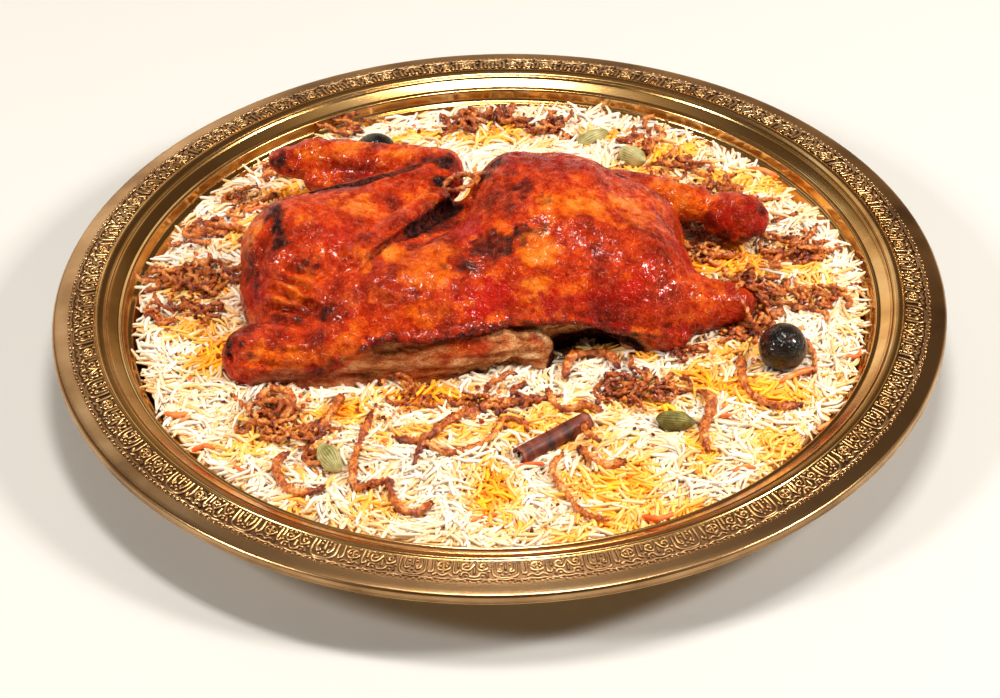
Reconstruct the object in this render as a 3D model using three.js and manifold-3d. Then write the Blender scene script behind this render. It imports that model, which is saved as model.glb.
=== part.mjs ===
// A brass serving tray of chicken mandi: a whole roast bird lies on a bed of rice, with dried
// limes, a cinnamon quill, cardamom pods and heaps of fried onion round it.
// Millimetres, +Z up. The origin is the middle of the underside of the tray. +X runs along the
// bird from its neck to its legs, and +Y runs from the skin's cut edge to the folded wing.
import * as THREE from "three";
import { mergeVertices } from "three/addons/utils/BufferGeometryUtils.js";
import Module from "manifold-3d";

// ---- driving dimensions ----

// Tray
const TRAY_RADIUS = 200; // outside of the turned-down lip
const RIM_Z = 38; // top of the ridge inside the embossed band, from which the rim falls both ways
const EDGE_Z = 33.9; // top of the outer edge
const LIP_Z = 29.2; // foot of the turned-down lip
const BAND_OUT = 193; // embossed band, outer radius
const BAND_IN = 180.6; // embossed band, inner radius
const LEDGE_RADIUS = 169; // rounded edge where the rim turns down into the well
const RING_Z = 29; // shallow ring round the well, where the heap of rice ends
const RING_RADIUS = 164;
const BASE_RADIUS = 148; // flat underside
const SHEET = 2; // thickness of the tray's metal
const TRAY_SIDES = 56;

// Rice
const GAP = 0.3; // clearance between touching pieces
const RICE_RADIUS = 163;
const RICE_EDGE_Z = 30;
const RICE_RISE = 4.6; // how far the middle of the heap stands above its edge
const RICE_RINGS = 8;
const RICE_SIDES = 40;

// Bird
const BIRD_CELL = 7; // facet size
const BIRD_SEAT_Z = 27; // the bird is pressed this deep into the rice
const SKIN_OVERHANG = 5; // the flesh stands this far inside the skin's lower edge

// Garnish
const LIME_RADIUS = 11;
const QUILL_LENGTH = 38;
const QUILL_RADIUS = 4.7;
const QUILL_WALL = 1.3;
const POD_LENGTH = 18;
const POD_RADIUS = 4.6;

const wasm = await Module();
wasm.setup();

// ---- solids from geometry, and geometry from solids ----

// A closed geometry as a solid that can be joined and cut.
function solidOf(geometry) {
  const bare = new THREE.BufferGeometry();
  bare.setAttribute("position", geometry.getAttribute("position"));
  bare.setIndex(geometry.getIndex());
  const merged = mergeVertices(bare, 1e-4);
  const mesh = new wasm.Mesh({
    numProp: 3,
    vertProperties: new Float32Array(merged.attributes.position.array),
    triVerts: new Uint32Array(merged.index.array),
  });
  return new wasm.Manifold(mesh);
}

// The largest body of a solid, as flat-shaded geometry.
function geometryOf(solid) {
  const bodies = solid.decompose().sort((a, b) => b.volume() - a.volume());
  const mesh = bodies[0].getMesh();
  const position = new Float32Array(mesh.numVert * 3);
  for (let i = 0; i < mesh.numVert; i++) {
    position.set(mesh.vertProperties.subarray(i * mesh.numProp, i * mesh.numProp + 3), i * 3);
  }
  const geometry = new THREE.BufferGeometry();
  geometry.setAttribute("position", new THREE.BufferAttribute(position, 3));
  geometry.setIndex(new THREE.BufferAttribute(new Uint32Array(mesh.triVerts), 1));
  geometry.computeVertexNormals();
  return geometry;
}

// A turned solid: the profile is a list of [radius, height] that runs from the axis at the
// bottom, round the outside, back to the axis at the top.
function turned(profile, sides) {
  const points = profile.map(([radius, height]) => new THREE.Vector2(radius, height));
  const geometry = new THREE.LatheGeometry(points, sides);
  geometry.rotateX(Math.PI / 2);
  return geometry;
}

// ---- distance fields of rounded forms ----

const mix = (a, b, t) => a + (b - a) * t;
const clamp = (v, low, high) => Math.min(high, Math.max(low, v));

// Two forms run into each other over the width k.
function join(a, b, k) {
  const h = Math.max(k - Math.abs(a - b), 0) / k;
  return Math.min(a, b) - (h * h * k) / 4;
}

// One form is cut by another, with an edge rounded over the width k.
function cut(a, b, k) {
  return -join(-a, b, k);
}

// An ellipsoid with radii [x, y, z], turned about the vertical by yaw and nose up by pitch.
function egg(x, y, z, centre, radii, yaw = 0, pitch = 0) {
  const turn = THREE.MathUtils.degToRad(yaw);
  const tip = THREE.MathUtils.degToRad(pitch);
  const dx = x - centre[0];
  const dy = y - centre[1];
  const dz = z - centre[2];
  const along = dx * Math.cos(turn) + dy * Math.sin(turn);
  const u = along * Math.cos(tip) + dz * Math.sin(tip);
  const v = dy * Math.cos(turn) - dx * Math.sin(turn);
  const w = dz * Math.cos(tip) - along * Math.sin(tip);
  const near = Math.hypot(u / radii[0], v / radii[1], w / radii[2]);
  const slope = Math.hypot(u / radii[0] ** 2, v / radii[1] ** 2, w / radii[2] ** 2);
  return (near * (near - 1)) / Math.max(slope, 1e-6);
}

// A tapering limb between two points; flat under 1 makes it lower than it is wide.
function limb(x, y, z, from, to, fromRadius, toRadius, flat = 1) {
  const d = [to[0] - from[0], to[1] - from[1], to[2] - from[2]];
  const q = [x - from[0], y - from[1], z - from[2]];
  const t = clamp(
    (q[0] * d[0] + q[1] * d[1] + q[2] * d[2]) / (d[0] ** 2 + d[1] ** 2 + d[2] ** 2),
    0,
    1,
  );
  const away = Math.hypot(q[0] - t * d[0], q[1] - t * d[1], (q[2] - t * d[2]) / flat);
  return (away - mix(fromRadius, toRadius, t)) * flat;
}

// A grid square with inside and outside corners crosswise would pinch the surface to a line there,
// so its shallowest outside corner is filled, over and over until no such square is left.
function fillPinches(value, n, step) {
  const pairs = [
    [step[0], step[1]],
    [step[1], step[2]],
    [step[2], step[0]],
  ];
  const last = n[0] * n[1] * n[2] - step[0] - step[1] - step[2];
  let filled = true;
  while (filled) {
    filled = false;
    for (let at = 0; at < last; at++) {
      for (const [p, q] of pairs) {
        const square = [at, at + p, at + p + q, at + q];
        const inside = square.map((c) => value[c] < 0);
        if (inside[0] !== inside[2] || inside[1] !== inside[3] || inside[0] === inside[1]) continue;
        const outside = square.filter((c) => value[c] >= 0);
        const shallow = value[outside[0]] < value[outside[1]] ? outside[0] : outside[1];
        value[shallow] = -0.1;
        filled = true;
      }
    }
  }
}

// A point moved along the field's slope on to its surface, by no more than a quarter of a cell.
function settled(field, x, y, z, cell) {
  const e = 0.05 * cell;
  const slope = [
    field(x + e, y, z) - field(x - e, y, z),
    field(x, y + e, z) - field(x, y - e, z),
    field(x, y, z + e) - field(x, y, z - e),
  ].map((difference) => difference / (2 * e));
  const steepness = Math.max(Math.hypot(...slope), 0.2);
  const move = clamp(-field(x, y, z) / steepness, -cell / 4, cell / 4) / steepness;
  return [x + slope[0] * move, y + slope[1] * move, z + slope[2] * move];
}

// The surface where a field is zero, meshed on a cubic grid: each cell that the surface crosses
// gets one vertex, and each grid edge it crosses gets one face of the four cells round it.
function surfaceOf(field, low, high, cell) {
  const n = [0, 1, 2].map((i) => Math.ceil((high[i] - low[i]) / cell) + 1);
  const at = (i, j, k) => i + n[0] * (j + n[1] * k);
  const step = [at(1, 0, 0), at(0, 1, 0), at(0, 0, 1)];
  const value = new Float32Array(n[0] * n[1] * n[2]);
  for (let k = 0; k < n[2]; k++) {
    for (let j = 0; j < n[1]; j++) {
      for (let i = 0; i < n[0]; i++) {
        value[at(i, j, k)] = field(low[0] + i * cell, low[1] + j * cell, low[2] + k * cell);
      }
    }
  }
  fillPinches(value, n, step);
  const corners = [];
  for (let c = 0; c < 8; c++) {
    corners.push([c & 1, (c >> 1) & 1, c >> 2]);
  }
  const vertexOf = new Map();
  const position = [];
  for (let k = 0; k < n[2] - 1; k++) {
    for (let j = 0; j < n[1] - 1; j++) {
      for (let i = 0; i < n[0] - 1; i++) {
        const v = corners.map(([a, b, c]) => value[at(i + a, j + b, k + c)]);
        const sum = [0, 0, 0];
        let crossings = 0;
        for (let a = 0; a < 8; a++) {
          for (let axis = 0; axis < 3; axis++) {
            const b = a | (1 << axis);
            if (a === b || v[a] < 0 === v[b] < 0) continue;
            const t = v[a] / (v[a] - v[b]);
            for (let m = 0; m < 3; m++) {
              sum[m] += mix(corners[a][m], corners[b][m], t);
            }
            crossings++;
          }
        }
        if (!crossings) continue;
        vertexOf.set(at(i, j, k), position.length / 3);
        const [x, y, z] = [i, j, k].map((c, m) => low[m] + (c + sum[m] / crossings) * cell);
        position.push(...settled(field, x, y, z, cell));
      }
    }
  }
  const index = [];
  for (let k = 1; k < n[2] - 1; k++) {
    for (let j = 1; j < n[1] - 1; j++) {
      for (let i = 1; i < n[0] - 1; i++) {
        const here = at(i, j, k);
        for (let axis = 0; axis < 3; axis++) {
          const inside = value[here] < 0;
          if (inside === value[here + step[axis]] < 0) continue;
          const p = step[(axis + 1) % 3];
          const q = step[(axis + 2) % 3];
          const ring = [here - p - q, here - q, here, here - p].map((c) => vertexOf.get(c));
          const [a, b, c, d] = inside ? ring : ring.reverse();
          index.push(a, b, c, a, c, d);
        }
      }
    }
  }
  const geometry = new THREE.BufferGeometry();
  geometry.setAttribute("position", new THREE.Float32BufferAttribute(position, 3));
  geometry.setIndex(index);
  geometry.computeVertexNormals();
  return geometry;
}

// ---- tray ----

// One sheet: a flat base, a curved side, a narrow ring, a short wall, a cove up to the ridge, a
// rim that slopes down outwards with a recessed band for the embossing, and a turned-down lip.
const trayProfile = [
  [0, 0],
  [BASE_RADIUS, 0],
  [BASE_RADIUS + 9, 3.4],
  [RING_RADIUS, 13],
  [RING_RADIUS + 2.4, RING_Z - 1.8],
  [LEDGE_RADIUS + 0.6, RING_Z - 0.6],
  [LEDGE_RADIUS + 1.2, RIM_Z - 5.8],
  [LEDGE_RADIUS + 6.5, RIM_Z - 3],
  [BAND_IN, RIM_Z - SHEET],
  [BAND_OUT + 3, EDGE_Z - 1.1],
  [TRAY_RADIUS - 1.7, EDGE_Z - 2.4],
  [TRAY_RADIUS - 1.7, LIP_Z],
  [TRAY_RADIUS, LIP_Z],
  [TRAY_RADIUS, EDGE_Z - 1],
  [TRAY_RADIUS - 0.8, EDGE_Z],
  [TRAY_RADIUS - 2.4, EDGE_Z + 0.5],
  [BAND_OUT, EDGE_Z + 1.5],
  [BAND_OUT - 0.5, EDGE_Z + 1.1],
  [BAND_IN + 0.5, RIM_Z - 0.6],
  [BAND_IN, RIM_Z - 0.1],
  [BAND_IN - 1.2, RIM_Z + 0.2],
  [BAND_IN - 3.8, RIM_Z - 0.3],
  [LEDGE_RADIUS + 5.8, RIM_Z - 1.3],
  [LEDGE_RADIUS + 3, RIM_Z - 2.9],
  [LEDGE_RADIUS + 0.8, RIM_Z - 3.6],
  [LEDGE_RADIUS - 0.6, RIM_Z - 4],
  [LEDGE_RADIUS - 1.4, RING_Z + 2],
  [LEDGE_RADIUS - 2.4, RING_Z + 0.3],
  [RING_RADIUS + 0.2, RING_Z],
  [RING_RADIUS - 2.2, 14],
  [BASE_RADIUS + 7.5, 5],
  [BASE_RADIUS, SHEET],
  [0, SHEET],
];

// ---- the bird ----

// The skin's lower edge on the cut side: its height at a position along the bird.
const SKIN_EDGE = [
  [-125, 22],
  [-95, 33],
  [-70, 50],
  [-50, 60],
  [30, 60],
  [50, 57],
  [68, 51],
  [82, 42],
  [96, 34],
  [120, 25],
];

function skinEdge(x) {
  const next = SKIN_EDGE.findIndex(([at]) => at > x);
  if (next <= 0) return SKIN_EDGE[next === 0 ? 0 : SKIN_EDGE.length - 1][1];
  const [x0, z0] = SKIN_EDGE[next - 1];
  const [x1, z1] = SKIN_EDGE[next];
  return mix(z0, z1, (x - x0) / (x1 - x0));
}

function bird(x, y, z) {
  const form = (centre, radii, yaw, pitch) => egg(x, y, z, centre, radii, yaw, pitch);
  const rod = (from, to, a, b, flat) => limb(x, y, z, from, to, a, b, flat);

  // Breast, back, thigh on the cut side, rump, and the shoulder that carries the wing.
  let body = join(form([-40, -16, 42], [64, 46, 38], 4), form([23, 11, 50], [45, 57, 42], -12), 12);
  body = join(body, form([8, 22, 54], [21, 38, 38]), 8);
  body = join(body, form([52, -8, 50], [35, 37, 32], 14), 9);
  body = join(body, form([58, 24, 48], [26, 26, 27]), 10);
  body = join(body, form([-86, 2, 44], [29, 38, 27]), 12);
  body = join(body, form([-50, 20, 40], [60, 44, 26], 4), 12);

  // On the cut side the skin stops at its edge, and the ribs and flesh show under it.
  const skin = y < 20 ? cut(body, z - skinEdge(x), 2.5) : body;
  let flesh = join(body + SKIN_OVERHANG, rod([-82, -53, 32], [-10, -46, 34], 8, 7.5), 3);
  flesh = join(flesh, rod([-64, -50, 45], [0, -46, 47], 8, 8.5), 3);
  let whole = join(skin, flesh, 1.2);
  whole = cut(whole, form([44, -42, 40], [22, 14, 9]), 3);
  whole = join(whole, form([13, -44, 41], [11, 9, 11], -15), 3);

  // The neck end, the two drumsticks and the knuckle of the far one.
  whole = join(whole, rod([-108, -43, 41], [-66, -43, 48], 14, 15.5), 4);
  whole = join(whole, rod([66, -22, 46], [105, -17, 44], 19, 8.5), 7);
  whole = join(whole, rod([56, 52, 55], [90, 47, 53], 11.5, 8.5), 5);
  whole = join(whole, form([108, 42, 48], [15.5, 11.5, 11.5], -8, -8), 3);

  // The folded wing: a broad upper arm to the elbow, and a forearm that lies back beside it.
  let wing = rod([-27, 54, 63], [-82, 8, 60], 12, 32, 0.75);
  wing = join(wing, form([-66, -2, 60], [31, 26, 21], 52), 6);
  wing = join(wing, rod([-25, 62, 63], [-84, 84, 58], 10.5, 8.5), 2.5);
  wing = join(wing, form([-90, 82, 56], [15, 8, 7.5], -14), 3);
  return join(whole, wing, 2);
}

// The bird grown by a distance, cut off level underneath.
function birdSolid(grown) {
  const field = (x, y, z) => bird(x, y, z) - grown;
  const surface = surfaceOf(field, [-132, -74, -8], [136, 108, 106], BIRD_CELL);
  const seat = new THREE.BoxGeometry(400, 400, 60);
  seat.translate(0, 0, BIRD_SEAT_Z - grown - 30);
  return solidOf(surface).subtract(solidOf(seat));
}

// ---- rice ----

// The top of the heap: level in the middle, falling off to its edge, with low lumps.
function riceTop(x, y) {
  const r = Math.hypot(x, y) / RICE_RADIUS;
  const lumps =
    0.9 * Math.sin(x * 0.071 + 0.7) * Math.cos(y * 0.083 - 0.4) +
    0.6 * Math.sin(x * 0.153 - y * 0.117 + 1.9) +
    0.4 * Math.cos(x * 0.211 + y * 0.263);
  const dome = RICE_EDGE_Z + RICE_RISE * (1 - r ** 3.4);
  return dome + lumps * Math.min(1, 6 * (1 - r));
}

// The heap fills the tray: its underside follows the base and the curved side.
function riceGeometry() {
  const rings = [];
  for (let i = 1; i <= RICE_RINGS; i++) {
    rings.push(RICE_RADIUS * (1 - (1 - i / RICE_RINGS) ** 1.25));
  }
  const under = [
    [RING_RADIUS - 2.8, 14.3],
    [BASE_RADIUS + 6.6, 5.6],
    [BASE_RADIUS - 1, SHEET + GAP],
  ];
  const position = [0, 0, riceTop(0, 0)];
  const ring = (radius, height) => {
    for (let s = 0; s < RICE_SIDES; s++) {
      const angle = (2 * Math.PI * s) / RICE_SIDES;
      const x = radius * Math.cos(angle);
      const y = radius * Math.sin(angle);
      position.push(x, y, height ?? riceTop(x, y));
    }
  };
  rings.forEach((radius) => ring(radius));
  under.forEach(([radius, height]) => ring(radius, height));
  position.push(0, 0, SHEET + GAP);
  const count = rings.length + under.length;
  const last = 1 + count * RICE_SIDES;
  const index = [];
  for (let s = 0; s < RICE_SIDES; s++) {
    const t = (s + 1) % RICE_SIDES;
    index.push(0, 1 + s, 1 + t);
    for (let r = 0; r < count - 1; r++) {
      const a = 1 + r * RICE_SIDES;
      const b = a + RICE_SIDES;
      index.push(a + s, b + s, b + t, a + s, b + t, a + t);
    }
    const a = last - RICE_SIDES;
    index.push(a + s, last, a + t);
  }
  const geometry = new THREE.BufferGeometry();
  geometry.setAttribute("position", new THREE.Float32BufferAttribute(position, 3));
  geometry.setIndex(index);
  return geometry;
}

// ---- garnish ----

// A dried lime: a slightly flattened ball with a small nipple at each end.
function limeGeometry(grown) {
  const profile = [[0, -LIME_RADIUS * 0.97 - grown]];
  const rows = 7;
  for (let i = 1; i < rows; i++) {
    const angle = (Math.PI * i) / rows;
    const r = (LIME_RADIUS + grown) * Math.sin(angle);
    profile.push([r, -(LIME_RADIUS * 0.93 + grown) * Math.cos(angle)]);
  }
  profile.push([0, LIME_RADIUS * 0.97 + grown]);
  return turned(profile, 12);
}

// A cinnamon quill: a length of bark rolled into a tube, open at both ends. It lies along +X.
function quillGeometry(grown) {
  const half = QUILL_LENGTH / 2 + grown;
  const outside = QUILL_RADIUS + grown;
  const inside = QUILL_RADIUS - QUILL_WALL;
  const profile = grown
    ? [[0, -half], [outside, -half], [outside, half], [0, half]]
    : [[inside, -half], [outside, -half], [outside, half], [inside, half], [inside, -half]];
  const geometry = turned(profile, 14);
  return geometry.rotateY(Math.PI / 2);
}

// A cardamom pod: three-sided and pointed at both ends. It lies along +X.
function podGeometry(grown) {
  const rows = 6;
  const sides = 9;
  const half = POD_LENGTH / 2 + grown;
  const position = [-half, 0, 0];
  for (let i = 1; i < rows; i++) {
    const t = (2 * i) / rows - 1;
    const radius = POD_RADIUS * (1 - t * t) ** 0.72;
    for (let s = 0; s < sides; s++) {
      const angle = (2 * Math.PI * s) / sides;
      const r = radius * (1 + 0.09 * Math.cos(3 * angle)) + grown;
      position.push(half * t, r * Math.cos(angle), r * Math.sin(angle));
    }
  }
  position.push(half, 0, 0);
  const last = position.length / 3 - 1;
  const index = [];
  for (let s = 0; s < sides; s++) {
    const t = (s + 1) % sides;
    index.push(0, 1 + t, 1 + s);
    for (let r = 0; r < rows - 2; r++) {
      const a = 1 + r * sides;
      const b = a + sides;
      index.push(a + s, a + t, b + t, a + s, b + t, b + s);
    }
    index.push(last, last - sides + s, last - sides + t);
  }
  const geometry = new THREE.BufferGeometry();
  geometry.setAttribute("position", new THREE.Float32BufferAttribute(position, 3));
  geometry.setIndex(index);
  return geometry;
}

// A heap of fried onion: a low lump with an uneven outline, sized by its radii.
function onionGeometry(radii, seed, grown) {
  const rows = 5;
  const sides = 11;
  const position = [0, 0, -radii[2] - grown];
  for (let i = 1; i < rows; i++) {
    const tilt = (Math.PI * i) / rows;
    for (let s = 0; s < sides; s++) {
      const angle = (2 * Math.PI * s) / sides;
      const wave =
        0.1 * Math.sin(2 * angle + seed) + 0.09 * Math.cos(5 * angle + 2 * tilt + 1.7 * seed);
      const swell = (1 + wave) * Math.sin(tilt);
      position.push(
        (radii[0] * swell + grown * Math.sin(tilt)) * Math.cos(angle),
        (radii[1] * swell + grown * Math.sin(tilt)) * Math.sin(angle),
        -(radii[2] + grown) * Math.cos(tilt),
      );
    }
  }
  position.push(0, 0, radii[2] + grown);
  const last = position.length / 3 - 1;
  const index = [];
  for (let s = 0; s < sides; s++) {
    const t = (s + 1) % sides;
    index.push(0, 1 + t, 1 + s);
    for (let r = 0; r < rows - 2; r++) {
      const a = 1 + r * sides;
      const b = a + sides;
      index.push(a + s, a + t, b + t, a + s, b + t, b + s);
    }
    index.push(last, last - sides + s, last - sides + t);
  }
  const geometry = new THREE.BufferGeometry();
  geometry.setAttribute("position", new THREE.Float32BufferAttribute(position, 3));
  geometry.setIndex(index);
  return geometry;
}

// Each piece of garnish: its name, the way to make it, its place, and how it is turned
// (yaw about the vertical, tilt of its +X end upwards), in millimetres and degrees.
const GARNISH = [
  { name: "lime_1", make: limeGeometry, at: [124, -48, 42.5], yaw: 20, tilt: 62 },
  { name: "lime_2", make: limeGeometry, at: [-56, 114, 36.1], yaw: -40, tilt: 75 },
  { name: "cinnamon", make: quillGeometry, at: [22, -100, 36.6], yaw: 35, tilt: 3 },
  { name: "cardamom_1", make: podGeometry, at: [-74, -110, 37.5], yaw: 118, tilt: 8 },
  { name: "cardamom_2", make: podGeometry, at: [75, -92, 38], yaw: -18, tilt: 4 },
  { name: "cardamom_3", make: podGeometry, at: [46, 125, 34.7], yaw: 30, tilt: 6 },
  { name: "cardamom_4", make: podGeometry, at: [64, 107, 37.2], yaw: -50, tilt: 10 },
  { name: "onion_1", radii: [15, 12, 6.5], at: [-136, 20, 35.9], yaw: 60 },
  { name: "onion_2", radii: [19, 12, 6.5], at: [-96, -87, 35.7], yaw: 10 },
  { name: "onion_3", radii: [17, 12, 6.5], at: [62, -71, 35.5], yaw: -30 },
  { name: "onion_4", radii: [14, 12, 8], at: [114, -10, 42.7], yaw: 35 },
  { name: "onion_5", radii: [11, 8, 6], at: [87, 27, 39.5], yaw: 20 },
  { name: "onion_6", radii: [18, 10, 6], at: [-8, 130, 31.9], yaw: 0 },
  { name: "onion_7", radii: [13, 9, 6], at: [136, 26, 37], yaw: 40 },
];

// A garnish piece's geometry, grown by a distance and put in its place.
function placed(piece, grown) {
  const seed = piece.at[0] * 0.37 + piece.at[1] * 0.11;
  const geometry = piece.make ? piece.make(grown) : onionGeometry(piece.radii, seed, grown);
  geometry.rotateY(-THREE.MathUtils.degToRad(piece.tilt ?? 0));
  geometry.rotateZ(THREE.MathUtils.degToRad(piece.yaw));
  geometry.translate(...piece.at);
  return geometry;
}

// ---- assembly ----

const group = new THREE.Group();
group.name = "chicken_mandi_tray";

function add(name, geometry, color, roughness, metalness) {
  const material = new THREE.MeshStandardMaterial({ color, roughness, metalness });
  material.name = name;
  const mesh = new THREE.Mesh(geometry, material);
  mesh.name = name;
  group.add(mesh);
}

add("tray", turned(trayProfile, TRAY_SIDES), "#b08a50", 0.3, 1);

const birdRoom = birdSolid(GAP * 2);
add("chicken", geometryOf(birdSolid(0)), "#a8330f", 0.4, 0);

// The rice is pressed in under the bird and under each piece of garnish, and a piece of garnish
// gives way to the bird.
let rice = solidOf(riceGeometry()).subtract(birdRoom);
for (const piece of GARNISH) {
  let solid = solidOf(placed(piece, 0));
  if (!piece.make) solid = solid.subtract(birdRoom);
  piece.solid = solid;
  rice = rice.subtract(solidOf(placed(piece, GAP * 1.5)));
}
add("rice", geometryOf(rice), "#efe6d2", 0.6, 0);

const LOOKS = {
  lime: ["#1d1613", 0.35],
  cinnamon: ["#5a3120", 0.7],
  cardamom: ["#8f9160", 0.65],
  onion: ["#8c4316", 0.5],
};
for (const piece of GARNISH) {
  const [color, roughness] = LOOKS[piece.name.split("_")[0]];
  add(piece.name, geometryOf(piece.solid), color, roughness, 0);
}

export default group;
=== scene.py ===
import math

import bmesh
import bpy
import numpy as np
from mathutils import Matrix, Vector
from mathutils.bvhtree import BVHTree


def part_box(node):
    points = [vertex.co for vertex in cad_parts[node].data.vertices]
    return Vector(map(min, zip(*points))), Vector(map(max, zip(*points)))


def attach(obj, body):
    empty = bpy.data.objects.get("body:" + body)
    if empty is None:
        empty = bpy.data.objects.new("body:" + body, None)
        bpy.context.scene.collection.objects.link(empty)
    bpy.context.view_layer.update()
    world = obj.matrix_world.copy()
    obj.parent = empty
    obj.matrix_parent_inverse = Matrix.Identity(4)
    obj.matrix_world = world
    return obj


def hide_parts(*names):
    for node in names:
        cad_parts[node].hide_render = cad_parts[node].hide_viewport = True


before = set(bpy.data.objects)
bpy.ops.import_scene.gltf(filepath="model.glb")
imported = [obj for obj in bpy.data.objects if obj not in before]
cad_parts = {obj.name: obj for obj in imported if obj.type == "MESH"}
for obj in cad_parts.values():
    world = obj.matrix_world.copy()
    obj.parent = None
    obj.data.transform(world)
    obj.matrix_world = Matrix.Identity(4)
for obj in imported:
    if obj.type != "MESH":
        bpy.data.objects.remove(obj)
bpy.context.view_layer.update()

# ---------------------------------------------------------------------------------------------
# Tray: a round brass serving tray, spun from sheet over a wooden form. Its edge is rolled down
# into a lip, two mouldings lead down to the wall, and a shallow ring runs round the deep well.
MM = 0.001
TRAY_TURNS = 320
BAND_IN, BAND_Z = 180.9, 37.62  # where the ornament's band starts, and its height there
BAND_FALL = 0.2  # how much the band falls for each millimetre outwards
# The section from the middle of the underside round the lip to the middle of the well, as
# radius, height and the fillet at that corner.
TRAY_SECTION = [
    (0, 0, 0), (148, 0, 4), (157, 3.4, 5), (164.3, 13, 6), (166.4, 27.2, 2), (169.6, 28.4, 0.8),
    (170.2, 32.2, 1.5), (175.5, 35.0, 2), (180.5, 36.0, 1.5), (196.0, 32.8, 1), (198.3, 31.5, 1),
    (198.5, 29.6, 0.3), (199.5, 29.2, 0.4), (200.1, 29.9, 0.4), (199.6, 30.7, 0.3), (200.0, 31.4, 0.4),
    (200.1, 33.1, 0.4), (199.3, 34.1, 0.5), (197.4, 34.5, 0.8), (193.0, 35.2, 0.6), (BAND_IN, BAND_Z, 0.3),
    (180.3, 38.2, 0.4), (178.9, 38.1, 0.5), (177.0, 37.6, 0.5), (176.4, 37.0, 0.2), (175.9, 37.3, 0.2),
    (175.4, 37.1, 0.2), (174.9, 36.4, 0.3), (173.4, 35.6, 1.2), (170.6, 34.2, 0.9), (169.8, 34.2, 0.3),
    (169.0, 34.5, 0.4), (168.2, 34.0, 0.6), (167.7, 32.0, 1), (167.2, 30.2, 0.6), (166.4, 29.2, 0.6),
    (164.2, 29.0, 0.8), (161.8, 14, 6), (155.5, 5, 5), (148, 2, 4), (0, 2, 0),
]


def linear(code):
    """An sRGB hex colour as linear RGBA."""
    channels = [int(code[i : i + 2], 16) / 255 for i in (1, 3, 5)]
    return [c / 12.92 if c <= 0.04045 else ((c + 0.055) / 1.055) ** 2.4 for c in channels] + [1.0]


def feed(node, inputs):
    """Sets each of a node's inputs to a value, or links it to a socket or to a node's first output."""
    for key, value in inputs.items():
        if isinstance(value, bpy.types.Node):
            value = next(s for s in value.outputs if s.enabled)
        if isinstance(value, bpy.types.NodeSocket):
            node.id_data.links.new(value, node.inputs[key])
        else:
            node.inputs[key].default_value = value


def add(tree, kind, inputs=None, stops=None, **settings):
    """A node with its settings, its inputs and its colour stops."""
    made = tree.nodes.new(kind)
    for name, value in settings.items():
        setattr(made, name, value)
    feed(made, inputs or {})
    for i, (position, code) in enumerate(stops or []):
        elements = made.color_ramp.elements
        element = elements[i] if i < 2 else elements.new(position)
        element.position = position
        element.color = linear(code)
    return made


def finish_of(name, **constants):
    """A material with a Principled shader: the material, its tree and the shader."""
    made = bpy.data.materials.new(name)
    made.use_nodes = True
    made.node_tree.nodes.clear()
    constants = {socket.replace("_", " "): value for socket, value in constants.items()}
    shader = add(made.node_tree, "ShaderNodeBsdfPrincipled", constants)
    add(made.node_tree, "ShaderNodeOutputMaterial", {"Surface": shader})
    return made, made.node_tree, shader


def mesh_object(name, points, faces, finish):
    """A smooth mesh piece from points in millimetres."""
    mesh = bpy.data.meshes.new(name)
    mesh.from_pydata((np.asarray(points, float) * MM).tolist(), [], [list(f) for f in faces])
    mesh.polygons.foreach_set("use_smooth", [True] * len(mesh.polygons))
    mesh.materials.append(finish)
    made = bpy.data.objects.new(name, mesh)
    bpy.context.scene.collection.objects.link(made)
    return made


def filleted(corners, steps=4):
    """A section of (radius, height, fillet) corners as points, each fillet an even curve."""
    points = []
    for i, (r, z, fillet) in enumerate(corners):
        here = Vector((r, z))
        if fillet == 0:
            points.append(here)
            continue
        back = Vector(corners[i - 1][:2]) - here
        onward = Vector(corners[i + 1][:2]) - here
        reach = min(fillet, 0.48 * back.length, 0.48 * onward.length)
        start = here + back.normalized() * reach
        end = here + onward.normalized() * reach
        for s in range(steps + 1):
            t = s / steps
            points.append(start * (1 - t) ** 2 + here * (2 * t * (1 - t)) + end * t**2)
    return points


def turned(name, section, turns, finish):
    """A solid of revolution: the section runs from the axis outwards and back to the axis."""
    rings = [p for p in section if p.x > 0]
    angles = 2 * math.pi * np.arange(turns) / turns
    points = [(p.x * math.cos(a), p.x * math.sin(a), p.y) for p in rings for a in angles]
    points += [(0, 0, section[0].y), (0, 0, section[-1].y)]
    under, top = len(points) - 2, len(points) - 1
    faces = []
    for s in range(turns):
        t = (s + 1) % turns
        faces.append((under, t, s))
        for first in range(0, (len(rings) - 1) * turns, turns):
            faces.append((first + s, first + t, first + turns + t, first + turns + s))
        faces.append((under - turns + s, under - turns + t, top))
    return mesh_object(name, points, faces, finish)


# Spun brass, polished long ago and rubbed since: a warm, rather soft reflection over faint
# turning marks, with brown tarnish in cloudy patches and where the ornament keeps the cloth off.
# From about 178 mm outwards it is painted darker and duller: painted shade for the dark
# reflection that the rim and lip catch.
ORNAMENT_IN, ORNAMENT_OUT = 181.0, 193.2
ORNAMENT_FADE_IN, ORNAMENT_FADE_OUT = 0.8, 1.4  # how softly its tarnish starts and stops
RIM_SHADE_FROM, RIM_SHADE_TO = 178, 190  # the radii across which the brass turns darker and duller, as painted shade
brass, tree, shader = finish_of("spun_brass", Metallic=1.0)
place = add(tree, "ShaderNodeTexCoord").outputs["Object"]
level = add(tree, "ShaderNodeVectorMath", {0: place, 1: (1, 1, 0)}, operation="MULTIPLY")
radius = add(tree, "ShaderNodeVectorMath", {0: level}, operation="LENGTH").outputs["Value"]
cloud = add(tree, "ShaderNodeTexNoise", {"Vector": place, "Scale": 26.0, "Detail": 6.0})
golden = add(tree, "ShaderNodeValToRGB", {"Fac": cloud}, [
    (0.3, "#A87C48"), (0.48, "#D2A666"), (0.7, "#E6C48C")])
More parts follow.
